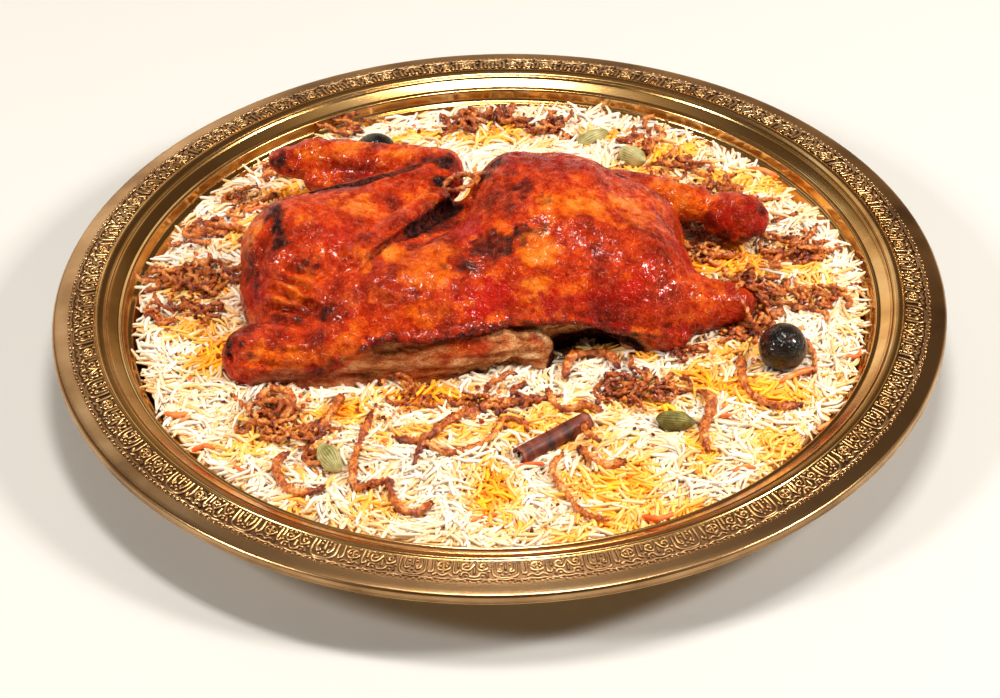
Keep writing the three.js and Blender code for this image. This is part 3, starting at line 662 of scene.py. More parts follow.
def bird(p):
    """The whole bird: body, hollow, near wing's stump, both legs, far wing and the folds."""
    body = carcass(p)
    whole = built(p, join(skin_side(p, body), cut_side(p, body), 1.2), [
        (cut, egg, HOLLOW, 3),
        (join, egg, ((13, -44, 41), (11, 9, 11), -15), 3),
        (cut, limb, ((-88, -30, 66), (-72, -52, 58), 1.5, 3), 5),
        (join, limb, ((-108, -43, 41), (-66, -43, 48), 14, 15.5), 4),
        (join, limb, ((66, -22, 46), (105, -17, 44), 19, 8.5), 7),
        (join, egg, ((75, -37, 41), (9, 6, 5), 10), 3),
        (join, limb, ((56, 52, 55), (90, 47, 53), 11.5, 8.0), 5),
        (join, egg, ((108, 42, 48), (15.5, 11.5, 11.5), -8, -8), 2.5),
        (cut, limb, ((-12, 28, 72), (-42, -19, 85), 8, 6.5), 4),
        (cut, limb, ((-42, -19, 85), (-64, -35, 80), 6, 3), 4),
    ])
    upper_wing = built(p, limb(p, (-27, 54, 63), (-82, 8, 60), 12, 32, 0.75), [
        (join, egg, ((-66, -2, 60), (31, 26, 21), 52), 6),
        (join, limb, ((-27, 35, 65), (-46, 2, 74.5), 7.5, 6.5), 1.5),
        (join, limb, ((-46, 2, 74.5), (-64, -18, 75), 6.5, 5), 1.5),
        (cut, limb, ((-98, 5, 83), (-106, -9, 72), 2.2, 2.6), 2.5),
        (cut, limb, ((-106, -9, 72), (-107, -26, 55), 2.6, 2.2), 2.5),
    ])
    forearm = built(p, limb(p, (-25, 62, 63), (-84, 84, 58), 10.5, 8.5), [
        (join, egg, ((-90, 82, 56), (15, 8, 7.5), -14), 3),
        (join, limb, ((-30, 55, 57), (-82, 75, 52), 8.5, 6.5), 1.5),
    ])
    whole = join(whole, join(upper_wing, forearm, 2), 1.5)
    whole = built(p, whole, [(cut, limb, fold[:4], 1.2) for fold in CREASES])
    return np.maximum(whole, BIRD_SEAT_Z - p[..., 2])


def surface_of(field, low, high, cell):
    """The zero surface of a field as points and quads, one point in each cell that it crosses."""
    count = [int(math.ceil((h - l) / cell)) + 1 for l, h in zip(low, high)]
    xs, ys, zs = [np.float32(l + cell * np.arange(n)) for l, n in zip(low, count)]
    y, z = np.meshgrid(ys, zs, indexing="ij")
    value = np.stack([field(np.stack([np.full_like(y, x), y, z], -1)) for x in xs])
    inside = value < 0
    corners = [(i & 1, i >> 1 & 1, i >> 2) for i in range(8)]
    spans = [tuple(slice(c, n - 1 + c) for c, n in zip(corner, count)) for corner in corners]
    filled = sum(inside[span].astype(np.int8) for span in spans)
    cells = np.argwhere((filled > 0) & (filled < 8))
    number = np.full(count, -1, np.int64)
    number[tuple(cells.T)] = np.arange(len(cells))
    at = np.stack([value[tuple((cells + corner).T)] for corner in corners], 1)
    total, crossings = np.zeros((len(cells), 3)), np.zeros(len(cells))
    for a in range(8):
        for axis in range(3):
            b = a | 1 << axis
            if b == a:
                continue
            crossed = (at[:, a] < 0) != (at[:, b] < 0)
            t = np.where(crossed, at[:, a] / np.where(crossed, at[:, a] - at[:, b], 1), 0)
            total += crossed[:, None] * (corners[a] + t[:, None] * np.eye(3)[axis])
            crossings += crossed
    points = np.array(low) + cell * (cells + total / crossings[:, None])
    faces = []
    for axis in range(3):
        ahead, p, q = np.eye(3, dtype=int)[[axis, (axis + 1) % 3, (axis + 2) % 3]]
        here = inside[tuple(slice(0, n - a) for n, a in zip(count, ahead))]
        there = inside[tuple(slice(a, n) for n, a in zip(count, ahead))]
        for turn, crossed in ((1, here & ~there), (-1, ~here & there)):
            base = np.argwhere(crossed)
            ring = [number[tuple((base - s).T)] for s in (p + q, q, 0 * p, p)]
            faces.append(np.stack(ring[::turn], 1))
    return points, np.concatenate(faces)


def normals_of(points, faces):
    """The unit normal at each point of a mesh of quads."""
    a, b, c, d = [points[corner] for corner in faces.T]
    diagonal = np.cross(c - a, d - b)
    normal = np.zeros_like(points)
    for k in range(4):
        np.add.at(normal, faces[:, k], diagonal)
    return normal / np.maximum(np.linalg.norm(normal, axis=1, keepdims=True), 1e-9)


def ripples(p, across, wave, seed, bend=1.6):
    """Parallel folds a wave apart across a direction, bent by noise."""
    way = np.array(across, float) / np.linalg.norm(across)
    return np.sin(2 * math.pi * (p @ way) / wave + bend * noise(p, 11, seed) + bend * noise(p, 5, seed + 1))


def rings(p, centre, wave, seed):
    """Folds round a centre, as skin makes where it is drawn over a joint."""
    away = np.linalg.norm(p - np.array(centre, float), axis=-1)
    return np.sin(2 * math.pi * away / wave + 1.8 * noise(p, 9, seed))


low, high = [np.array(c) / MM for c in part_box("chicken")]
low[2] = BIRD_SEAT_Z - 0.5
points, faces = surface_of(bird, low - BIRD_MARGIN, high + BIRD_MARGIN, BIRD_CELL)
normal = normals_of(points, faces)
body = carcass(points)
on_meat = np.clip(0.5 + (skin_side(points, body) - cut_side(points, body)) / 1.2, 0, 1)
for centre, radii in (((-92, -44, 44), (34, 20, 19)), ((88, -24, 40), (34, 24, 18))):
    on_meat *= 1 - spot(points, centre, radii)
on_meat *= points[:, 1] < 0
on_meat *= 1 - 0.9 * spot(points, (-16, -52, 51), (20, 12, 8), 0.3 * noise(points, 6, 13))
on_meat *= 1 - 0.4 * spot(points, (-62, -50, 42), (44, 16, 12), 0.4 * noise(points, 9, 14))
on_meat = np.maximum(on_meat, spot(points, (15, -50, 42), (14, 12, 11)))
on_skin = 1 - on_meat
ragged = 0.5 * noise(points, 8, 11) + 0.45 * noise(points, 3.2, 12)

crinkle = 0.8 * (0.3 - np.abs(noise(points, 3.0, 3))) + 0.3 * noise(points, 2.2, 4)
drawn = np.zeros(len(points))
for centre, radii in (((-70, 0, 76), (40, 34, 14)), ((-92, -40, 58), (34, 30, 24))):
    drawn = np.maximum(drawn, spot(points, centre, radii))
# Where the skin is drawn into folds: height, pattern, its direction or centre, wave and seed, and
# the middle and reach of the place.
FOLDS = [
    (2.2, ripples, ((0.5, 0.75, 0.4), 6.0, 21), (-92, -30, 64), (15, 17, 15)),
    (0.8, ripples, ((0.5, -0.8, 0.1), 6.5, 23), (-38, 38, 66), (22, 20, 22)),
    (0.7, ripples, ((-0.3, -0.9, 0.9), 6.0, 25), (-58, 74, 60), (40, 18, 16)),
    (0.8, ripples, ((0.1, 0.6, 0.9), 6.0, 27, 1.0), (-98, -46, 48), (24, 20, 18)),
    (0.25, rings, ((66, -26, 68), 3.6, 29), (66, -28, 62), (24, 22, 24)),
    (0.35, rings, ((52, -14, 40), 5.0, 31), (86, -20, 46), (20, 20, 22)),
    (0.3, ripples, ((1, 0.1, 0), 3.6, 33), (10, -44, 62), (60, 14, 12)),
    (0.5, rings, ((96, 42, 50), 5.0, 35), (110, 42, 48), (18, 16, 16)),
    (1.6, noise, (6, 37), (112, 42, 48), (17, 16, 16)),
]
rise = 0.6 * noise(points, 15, 1) + 0.25 * noise(points, 6.5, 2) + (0.75 + 0.35 * drawn) * crinkle
for height, pattern, sizes, centre, reach in FOLDS:
    rise += height * pattern(points, *sizes) * spot(points, centre, reach)
rise *= on_skin
fibres = noise(points, (18, 3.6, 2.8), 41) + 0.6 * noise(points, (9, 2.2, 2.0), 42)
rise += on_meat * (1.7 * fibres + 0.9 * noise(points, 9, 43))
rise += on_meat * 2.2 * noise(points, 5, 44) * spot(points, (14, -50, 42), (16, 14, 12))
rise *= np.clip((points[:, 2] - BIRD_SEAT_Z) / 4, 0, 1)
# The bones' ends show as small pits in the wing's stump and tip.
for pit in ((-121, -47, 50), (-119, -44, 45), (-118, -50, 46), (-104, 76, 58)):
    rise -= PIT_DEPTH * spot(points, pit, PIT_REACH)
points += normal * rise[:, None]

# How far each point is charred, how golden where fat kept it pale, and how deep red where the
# dye pooled, each as soft patches whose ragged edges follow the wrinkles. Some char patches (under
# the skin's edge, low on the meat, in the shoulder fold and at the far leg's root) and the deep red
# patches under the wing and on the lower slopes are painted shade.
CHAR_AND_SHADE = [
    ((-100, 78, 60), (7, 6, 6), 1.0), ((-22, 57, 74), (7, 6, 6), 0.9), ((-25, 44, 70), (8, 5, 8), 0.9),
    ((-36, 60, 70), (16, 4, 5), 0.6), ((-97, 4, 79), (5, 15, 8), 0.9),
    ((-110, -12, 64), (5, 20, 12), 0.6), ((-83, -22, 73), (10, 8, 7), 0.6),
    ((-84, -43, 63), (16, 5, 5), 0.8), ((-120, -42, 54), (9, 12, 8), 1.0),
    ((-112, -35, 60), (8, 5, 5), 0.9), ((-108, -52, 48), (5, 5, 4), 0.5),
    ((-3, 30, 80), (11, 14, 12), 0.75), ((-3, -18, 81), (17, 9, 9), 0.7),
    ((-15, -27, 77), (9, 6, 6), 0.65), ((10, -14, 86), (11, 5, 5), 0.65), ((18, 0, 89), (8, 6, 5), 0.4),
    ((-28, -54, 58), (24, 6, 3.5), 0.9), ((60, 38, 68), (8, 7, 8), 0.75), ((6, 14, 89), (9, 10, 7), 0.5),
    ((121, 42, 54), (4, 7, 5), 0.6), ((108, 34, 42), (16, 8, 6), 0.6), ((97, 40, 47), (5, 8, 8), 0.6),
    ((40, -42, 58), (12, 6, 4), 0.3), ((-40, 4, 77), (7, 4, 4), 0.5), ((8, 6, 88), (10, 17, 8), 0.6),
    ((-8, -54, 37), (16, 6, 2.4), 0.9), ((-60, -60, 40), (20, 6, 2), 0.5),
    ((-30, 14, 70), (7, 16, 6), 0.6), ((-76, 30, 76), (16, 4, 4), 0.7), ((66, -42, 50), (14, 6, 4), 0.4),
]
GOLD = [
    ((-70, 76, 68), (26, 7, 8), 0.65), ((-45, 66, 72), (20, 6, 6), 0.5),
    ((-62, 16, 80), (18, 12, 8), 0.55), ((-86, 2, 79), (10, 10, 6), 0.5),
    ((-108, 10, 70), (6, 13, 10), 1.0), ((-40, -20, 80), (26, 11, 7), 0.95),
    ((-30, -32, 76), (18, 10, 7), 0.8), ((-92, -32, 64), (9, 8, 6), 0.8),
    ((-94, -56, 50), (24, 7, 8), 0.95), ((-62, -56, 52), (16, 6, 6), 0.7),
    ((17, -26, 81), (9, 12, 8), 1.0), ((15, -38, 73), (8, 9, 9), 1.0), ((38, -2, 88), (24, 13, 8), 0.65),
    ((60, 6, 80), (18, 14, 9), 0.6), ((-34, -50, 68), (18, 8, 7), 0.5),
    ((82, 46, 60), (20, 10, 10), 0.55), ((94, -22, 54), (16, 9, 7), 0.45),
    ((-52, -44, 72), (14, 9, 7), 0.5), ((78, -34, 48), (14, 8, 6), 0.4), ((26, -44, 62), (12, 6, 5), 0.4),
    ((72, 22, 70), (10, 10, 10), 0.4),
]
# Deep red patches; those under the wing and on the lower slopes are painted shade.
DEEP_RED_AND_SHADE = [
    ((-14, -2, 78), (17, 13, 9), 1.0), ((-6, -40, 70), (16, 10, 10), 0.8),
    ((-70, -8, 80), (18, 12, 7), 0.5), ((48, -40, 64), (34, 9, 12), 0.95),
    ((-60, 58, 56), (34, 8, 8), 1.0), ((-46, 10, 68), (30, 6, 8), 0.7), ((-14, 50, 64), (8, 12, 12), 0.9),
    ((26, 34, 88), (30, 22, 10), 0.8), ((112, 40, 48), (16, 14, 12), 0.95),
    ((-112, -48, 44), (12, 12, 10), 0.6), ((-96, -54, 40), (30, 8, 6), 0.9),
    ((84, -8, 66), (14, 10, 12), 0.7), ((-30, -56, 56), (36, 8, 5), 0.8),
    ((-112, -20, 60), (8, 20, 12), 1.0), ((104, -18, 48), (10, 9, 8), 0.7),
    ((66, -30, 70), (12, 9, 9), 0.6), ((80, -38, 44), (14, 8, 7), 0.8),
]


def patches(spots):
    """How strongly each point lies in any of these patches."""
    covered = np.zeros(len(points))
    for centre, radii, strength in spots:
        covered = np.maximum(covered, strength * spot(points, centre, radii, ragged))
    return covered


# Painted shade, counted in with the char: dark along the folds, on the meat round the hollow under
# the thigh and in a line under the skin's edge. The wrinkles' crests are coloured more golden and
# less charred than their hollows.
painted_fold_shade = np.zeros(len(points))
for start, end, wide, narrow, fold_shade_strength in CREASES:
    away = limb(np.float32(points), start, end, wide, narrow)
    painted_fold_shade = np.maximum(painted_fold_shade, fold_shade_strength * np.clip(1.2 - np.abs(away) / 1.7 + 0.5 * ragged, 0, 1))
near_side = points[:, 1] < -20
away = np.abs(egg(np.float32(points), *HOLLOW))
painted_fold_shade = np.maximum(painted_fold_shade, near_side * on_meat * np.clip(1.7 - away / 2.5 + 0.4 * ragged, 0, 1))
away = np.abs(points[:, 2] - skin_edge(points[:, 0]))
painted_fold_shade = np.maximum(painted_fold_shade, 0.6 * near_side * on_skin * np.clip(1.2 - away / 2.4 + ragged, 0, 1))
char_and_shade = np.maximum(patches(CHAR_AND_SHADE), painted_fold_shade) - 0.4 * np.clip(crinkle, -0.5, 0.5)
gold = patches(GOLD) + 0.5 * np.clip(crinkle, -0.3, 0.4)
roast = np.clip(np.stack([char_and_shade, gold, patches(DEEP_RED_AND_SHADE), on_meat + 0.2 * fibres * on_meat], 1), 0, 1)

# Roast skin under a film of fat: each fine wrinkle throws a fleck of light where the fat lies.
# Dye and spice paste make it orange and red, browned where it stood up; the folds and the hollows
# of the fine wrinkles carry painted shade and their crests a painted highlight of lighter orange.
skin, tree, shader = finish_of(
    "roast_skin", Roughness=0.5, Specular_IOR_Level=0.05, Coat_Roughness=0.06, Coat_IOR=1.43)
place = add(tree, "ShaderNodeTexCoord").outputs["Object"]
share = add(tree, "ShaderNodeAttribute", attribute_name="roast").outputs["Color"]
charred_and_shaded, gilded, reddened_and_shaded = add(tree, "ShaderNodeSeparateColor", {0: share}).outputs
meat_share = add(tree, "ShaderNodeAttribute", attribute_name="meat").outputs["Fac"]
mottle = add(tree, "ShaderNodeTexNoise", {"Vector": place, "Scale": 60.0, "Detail": 9.0, "Roughness": 0.7})
speck = add(tree, "ShaderNodeTexNoise", {"Vector": place, "Scale": 420.0, "Detail": 3.0, "Roughness": 0.6})
crumple = add(tree, "ShaderNodeTexNoise", {
    "Vector": place, "Scale": 420.0, "Detail": 1.0, "Distortion": 1.0})
crumple = add(tree, "ShaderNodeMath", {0: crumple, 1: 0.5}, operation="SUBTRACT")
crumple = add(tree, "ShaderNodeMath", {0: crumple}, operation="ABSOLUTE")
pores = add(tree, "ShaderNodeTexNoise", {"Vector": place, "Scale": 900.0, "Detail": 2.0})
folds = {0: crumple, 1: 0.0, 2: 0.1, 3: 1.0, 4: 0.0}
folds = add(tree, "ShaderNodeMapRange", folds, interpolation_type="SMOOTHSTEP")
folds = add(tree, "ShaderNodeMath", {0: pores, 1: 0.3, 2: folds}, operation="MULTIPLY_ADD")
# Painted shade: dark red in the hollows of the fine wrinkles. Painted highlight: light orange on their
# crests.
painted_crease_shade = add(tree, "ShaderNodeMapRange", {0: crumple, 1: 0.08, 2: 0.2, 3: 0.0, 4: 0.5})
raised = add(tree, "ShaderNodeMapRange", {0: crumple, 1: 0.0, 2: 0.04, 3: 0.2, 4: 0.0})
base = add(tree, "ShaderNodeValToRGB", {"Fac": mottle}, [
    (0.34, "#560A02"), (0.44, "#921C02"), (0.54, "#C43604"), (0.64, "#EA6A0C")])
golden = add(tree, "ShaderNodeValToRGB", {"Fac": mottle}, [
    (0.34, "#BC3E02"), (0.5, "#E06606"), (0.68, "#F49632")])
red = add(tree, "ShaderNodeValToRGB", {"Fac": mottle}, [(0.34, "#760903"), (0.62, "#BC1604")])
black = add(tree, "ShaderNodeValToRGB", {"Fac": speck}, [(0.42, "#150807"), (0.65, "#54231C")])
dots = add(tree, "ShaderNodeTexNoise", {"Vector": place, "Scale": 560.0, "Detail": 1.0})
dotted = add(tree, "ShaderNodeMapRange", {0: dots, 1: 0.66, 2: 0.74, 4: 0.6})
along = add(tree, "ShaderNodeVectorMath", {0: place, 1: (0.5, 0.8, 1.4)}, operation="MULTIPLY")
grained = add(tree, "ShaderNodeTexNoise", {
    "Vector": along, "Scale": 170.0, "Detail": 7.0, "Roughness": 0.7, "Distortion": 0.6})
flesh = add(tree, "ShaderNodeValToRGB", {"Fac": grained}, [
    (0.34, "#602A10"), (0.44, "#9C5C32"), (0.54, "#C48A58"), (0.66, "#E6C094")])


def layered(under, weight, low, high, colour):
    """A colour over another, where its weight and the mottling together pass from low to high."""
    uneven = add(tree, "ShaderNodeMath", {0: mottle, 1: weight, 2: weight}, operation="MULTIPLY_ADD")
    cover = add(tree, "ShaderNodeMapRange", {0: uneven, 1: low, 2: high}, interpolation_type="SMOOTHSTEP")
    return add(tree, "ShaderNodeMix", {"Factor": cover, 6: under, 7: colour}, data_type="RGBA")


colour = layered(base, gilded, 0.15, 1.2, golden)
colour = layered(colour, reddened_and_shaded, 0.15, 1.1, red)
for cover, over in (
    (painted_crease_shade, linear("#6A1203")), (raised, linear("#F4761E")), (dotted, linear("#5C1004")),
    (meat_share, flesh),
):
    colour = add(tree, "ShaderNodeMix", {"Factor": cover, 6: colour, 7: over}, data_type="RGBA")
colour = layered(colour, charred_and_shaded, 0.1, 1.35, black)
relief = add(tree, "ShaderNodeBump", {"Height": folds, "Strength": 1.0, "Distance": 0.0004})
film = add(tree, "ShaderNodeTexNoise", {"Vector": place, "Scale": 240.0, "Detail": 4.0})
wet = add(tree, "ShaderNodeMapRange", {0: film, 1: 0.38, 2: 0.58, 3: 0.2, 4: 1.0})
dry = add(tree, "ShaderNodeMath", {0: charred_and_shaded, 1: -0.7, 2: 1.0}, operation="MULTIPLY_ADD")
dry = {0: meat_share, 1: -0.9, 2: dry}
dry = add(tree, "ShaderNodeMath", dry, operation="MULTIPLY_ADD", use_clamp=True)
coat = add(tree, "ShaderNodeMath", {0: wet, 1: dry}, operation="MULTIPLY")
feed(shader, {"Base Color": colour, "Normal": relief, "Coat Normal": relief, "Coat Weight": coat})

chicken = mesh_object("roast_chicken", points, faces, skin)
attribute = chicken.data.attributes.new("roast", "FLOAT_COLOR", "POINT")
attribute.data.foreach_set("color", np.concatenate([roast[:, :3], np.ones((len(points), 1))], 1).ravel())
attribute = chicken.data.attributes.new("meat", "FLOAT", "POINT")
attribute.data.foreach_set("value", roast[:, 3])
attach(chicken, "root")
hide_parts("chicken")

# ---------------------------------------------------------------------------------------------
# Dried limes: whole limes boiled in brine and dried black, a little wrinkled, with a pit where
# the stalk was. One sits by the drumstick and the other lies behind the wing.
LIME_RADIUS = 11.0
LIME_ACROSS, LIME_DOWN = 120, 60
LIMES = {"lime_1": (20, 62), "lime_2": (-40, 75)}  # yaw and tilt of the stalk's axis, in degrees


def round_solid(name, section, around, finish, shape=None):
    """A closed solid round z from (radius, height) points pole to pole, then shaped by a function."""
    turn = 2 * math.pi * np.arange(around) / around
    rings = [[(r * math.cos(a), r * math.sin(a), z) for a in turn] for r, z in section[1:-1]]
    poles = [(0, 0, section[0][1])], [(0, 0, section[-1][1])]
    points = np.array(poles[0] + sum(rings, []) + poles[1])
    faces = []
    last = len(points) - 1
    for s in range(around):
        n = (s + 1) % around
        faces += [(0, 1 + n, 1 + s), (last, last - around + s, last - around + n)]
        for first in range(1, last - around, around):
            faces.append((first + s, first + n, first + around + n, first + around + s))
    return mesh_object(name, shape(points) if shape else points, faces, finish)


def seated(node, points, yaw, tilt, fall=0.0):
    """Points tilted, turned and moved to the middle of a CAD node's box."""
    low, high = [np.array(corner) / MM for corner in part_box(node)]
    turn = Matrix.Rotation(math.radians(yaw), 3, "Z") @ Matrix.Rotation(math.radians(-tilt), 3, "Y")
    return points @ np.array(turn).T + (low + high) / 2 + np.array((0, 0, fall))


# Rind dried hard and oiled: almost black, shiny, with a fine leathery crackle that breaks up the
# softboxes' reflections and browner where it is worn thin.
rind, tree, shader = finish_of(
    "dried_rind", Roughness=0.4, Specular_IOR_Level=0.08, Coat_Roughness=0.07, Coat_Weight=1.0)
place = add(tree, "ShaderNodeTexCoord").outputs["Object"]
cloud = add(tree, "ShaderNodeTexNoise", {"Vector": place, "Scale": 130.0, "Detail": 6.0, "Roughness": 0.6})
colour = add(tree, "ShaderNodeValToRGB", {"Fac": cloud}, [
    (0.38, "#060403"), (0.58, "#120A07"), (0.74, "#3C2214")])
crackle = add(tree, "ShaderNodeTexVoronoi", {"Vector": place, "Scale": 620.0}, feature="DISTANCE_TO_EDGE")
cracks = add(tree, "ShaderNodeMapRange", {0: crackle, 1: 0.0, 2: 0.12})
relief = add(tree, "ShaderNodeBump", {"Height": cracks, "Strength": 0.3, "Distance": 0.0003})
waves = add(tree, "ShaderNodeTexNoise", {"Vector": place, "Scale": 300.0, "Detail": 3.0})
relief = add(tree, "ShaderNodeBump", {
    "Height": waves, "Strength": 0.35, "Distance": 0.0006, "Normal": relief})
feed(shader, {"Base Color": colour, "Normal": relief, "Coat Normal": relief})

for order, (node, (yaw, tilt)) in enumerate(LIMES.items()):

    def shrunk(points):
        """A lime drawn in at the stalk and dented as it dried, set in its place."""
        unit = points / LIME_RADIUS
        dents = 0.22 * noise(points, 9, 60 + order) + 0.1 * noise(points, 3.5, 62 + order)
        pit = 1.1 * np.exp(-((unit[:, 0] ** 2 + unit[:, 1] ** 2) / 0.03)) * (unit[:, 2] > 0)
        return seated(node, points * (1 + (dents - pit)[:, None] / LIME_RADIUS), yaw, tilt)

    falls = np.linspace(-math.pi / 2, math.pi / 2, LIME_DOWN + 1)
    section = [(LIME_RADIUS * math.cos(a), 0.96 * LIME_RADIUS * math.sin(a)) for a in falls]
    lime = round_solid("dried_" + node, section, LIME_ACROSS, rind, shrunk)
    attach(lime, "root")
    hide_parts(node)

# ---------------------------------------------------------------------------------------------
# Cinnamon: one piece of quill, a strip of inner bark that rolled itself up as it dried. Its
# edges overlap, its ends are broken square and it is hollow from end to end.
QUILL_LENGTH, QUILL_RADIUS, BARK_THICK = 38.0, 4.7, 0.85
QUILL_TURNS = 1.3
QUILL_YAW, QUILL_TILT = 35, 3

# Bark soaked in the broth: dark red-brown and satiny, with fibres along it and a paler scurf.
bark, tree, shader = finish_of(
    "cinnamon_bark", Roughness=0.48, Coat_Weight=0.1, Coat_Roughness=0.3, Specular_IOR_Level=0.35)
place = add(tree, "ShaderNodeAttribute", attribute_name="sheet").outputs["Vector"]
fibre = add(tree, "ShaderNodeMapping", {"Vector": place, "Scale": (60.0, 900.0, 900.0)})
fibre = add(tree, "ShaderNodeTexNoise", {"Vector": fibre, "Scale": 1.0, "Detail": 5.0})
blotch = add(tree, "ShaderNodeTexNoise", {"Vector": place, "Scale": 210.0, "Detail": 4.0})
shade = add(tree, "ShaderNodeMath", {0: fibre, 1: 0.5, 2: blotch}, operation="MULTIPLY_ADD")
colour = add(tree, "ShaderNodeValToRGB", {"Fac": shade}, [
    (0.55, "#35140B"), (0.75, "#682C1C"), (0.95, "#96543A")])
relief = add(tree, "ShaderNodeBump", {"Height": shade, "Strength": 0.7, "Distance": 0.0004})
feed(shader, {"Base Color": colour, "Normal": relief})

angles = np.linspace(0, 2 * math.pi * QUILL_TURNS, 110)
outer = QUILL_RADIUS - 1.12 * BARK_THICK * angles / (2 * math.pi)
loop = list(zip(outer, angles)) + list(zip(outer[::-1] - BARK_THICK, angles[::-1]))
stations = np.linspace(-QUILL_LENGTH / 2, QUILL_LENGTH / 2, 60)
points = np.array([(x, -r * math.sin(a), -r * math.cos(a)) for x in stations for r, a in loop])
flat_sheet = np.array([(x, r * a / 3, r) for x in stations for r, a in loop])
swell = 0.12 * noise(points, (9, 3, 3), 71) + 0.06 * noise(points, (5, 1.4, 1.4), 72)
points[:, 1:] *= (1 + swell / QUILL_RADIUS)[:, None]
ends = np.abs(points[:, 0]) > QUILL_LENGTH / 2 - 0.01
points[ends, 0] += 0.5 * noise(points[ends], 2.2, 73) - 0.4 * np.sign(points[ends, 0])
size, half = len(loop), len(angles)
faces = []
for i in range(len(stations) - 1):
    for s in range(size):
        a, b = i * size + s, i * size + (s + 1) % size
        faces.append((a, b, b + size, a + size))
for s in range(half - 1):
    a, b = s, 2 * half - 1 - s
    faces.append((a, b, b - 1, a + 1))
    first = (len(stations) - 1) * size
    faces.append((first + a, first + a + 1, first + b - 1, first + b))
quill = mesh_object("cinnamon_quill", seated("cinnamon", points, QUILL_YAW, QUILL_TILT), faces, bark)
sheet = quill.data.attributes.new("sheet", "FLOAT_VECTOR", "POINT")
sheet.data.foreach_set("vector", (flat_sheet * MM).ravel())
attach(quill, "root")
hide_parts("cinnamon")

# ---------------------------------------------------------------------------------------------
# Cardamom: whole green pods boiled with the rice, three-sided papery husks, ribbed from the
# stalk to a pointed tip. Each is a closed husk pressed a little into the grains.
POD_LENGTH, POD_RADIUS = 18.0, 4.6
PODS = {  # yaw and tilt in degrees, and how pale the husk is
    "cardamom_1": (118, 8, 0.5),
    "cardamom_2": (-18, 4, -0.5),
    "cardamom_3": (30, 6, 0.5),
    "cardamom_4": (-50, 10, 0.6),
}

# Husk: dull and papery, grey-green to olive, paler along the ribs and browner in the grooves.
husk, tree, shader = finish_of("cardamom_husk", Roughness=0.6, Specular_IOR_Level=0.35)
place = add(tree, "ShaderNodeTexCoord").outputs["Object"]
rib = add(tree, "ShaderNodeAttribute", attribute_name="rib").outputs["Fac"]
blotch = add(tree, "ShaderNodeTexNoise", {"Vector": place, "Scale": 180.0, "Detail": 5.0})
shade = add(tree, "ShaderNodeMath", {0: rib, 1: 0.11, 2: blotch}, operation="MULTIPLY_ADD")
colour = add(tree, "ShaderNodeValToRGB", {"Fac": shade}, [
    (0.3, "#58501E"), (0.52, "#878244"), (0.75, "#BEB684")])
grain = add(tree, "ShaderNodeTexNoise", {"Vector": place, "Scale": 900.0, "Detail": 3.0})
relief = add(tree, "ShaderNodeBump", {"Height": grain, "Strength": 0.5, "Distance": 0.0003})
feed(shader, {"Base Color": colour, "Normal": relief})

for order, (node, (yaw, tilt, pale)) in enumerate(PODS.items()):
    ribs = []

    def ribbed(points):
        """Three flat sides, a ridge between each, and fine ribs from end to end."""
        round_z = np.arctan2(points[:, 1], points[:, 0])
        along = points[:, 2] / POD_LENGTH
        lobes = 0.13 * np.cos(3 * round_z + 0.4 * noise(points, 9, 80 + order))
        fine = np.cos(24 * round_z + 3.4 * noise(points, (5, 5, 12), 84 + order))
        ribs.append(fine + 2.2 * pale)
        swell = 1 + lobes * (1 - (2 * along) ** 2) + 0.007 * fine + 0.09 * noise(points, 4, 88 + order)
        shaped = points * np.stack([swell, swell, np.ones(len(points))], 1)
        lying = shaped[:, [2, 0, 1]]
        return seated(node, lying, yaw, tilt)

    spans = np.linspace(-1, 1, 41)
    fullness = (1 - np.abs(spans) ** 2.1) ** 0.75 * (1 - 0.18 * spans)
    section = [(POD_RADIUS * f, POD_LENGTH / 2 * s) for s, f in zip(spans, fullness)]
    pod = round_solid(node + "_husk", section, 144, husk, ribbed)
    pod.data.attributes.new("rib", "FLOAT", "POINT").data.foreach_set("value", ribs[0])
    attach(pod, "root")
    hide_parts(node)

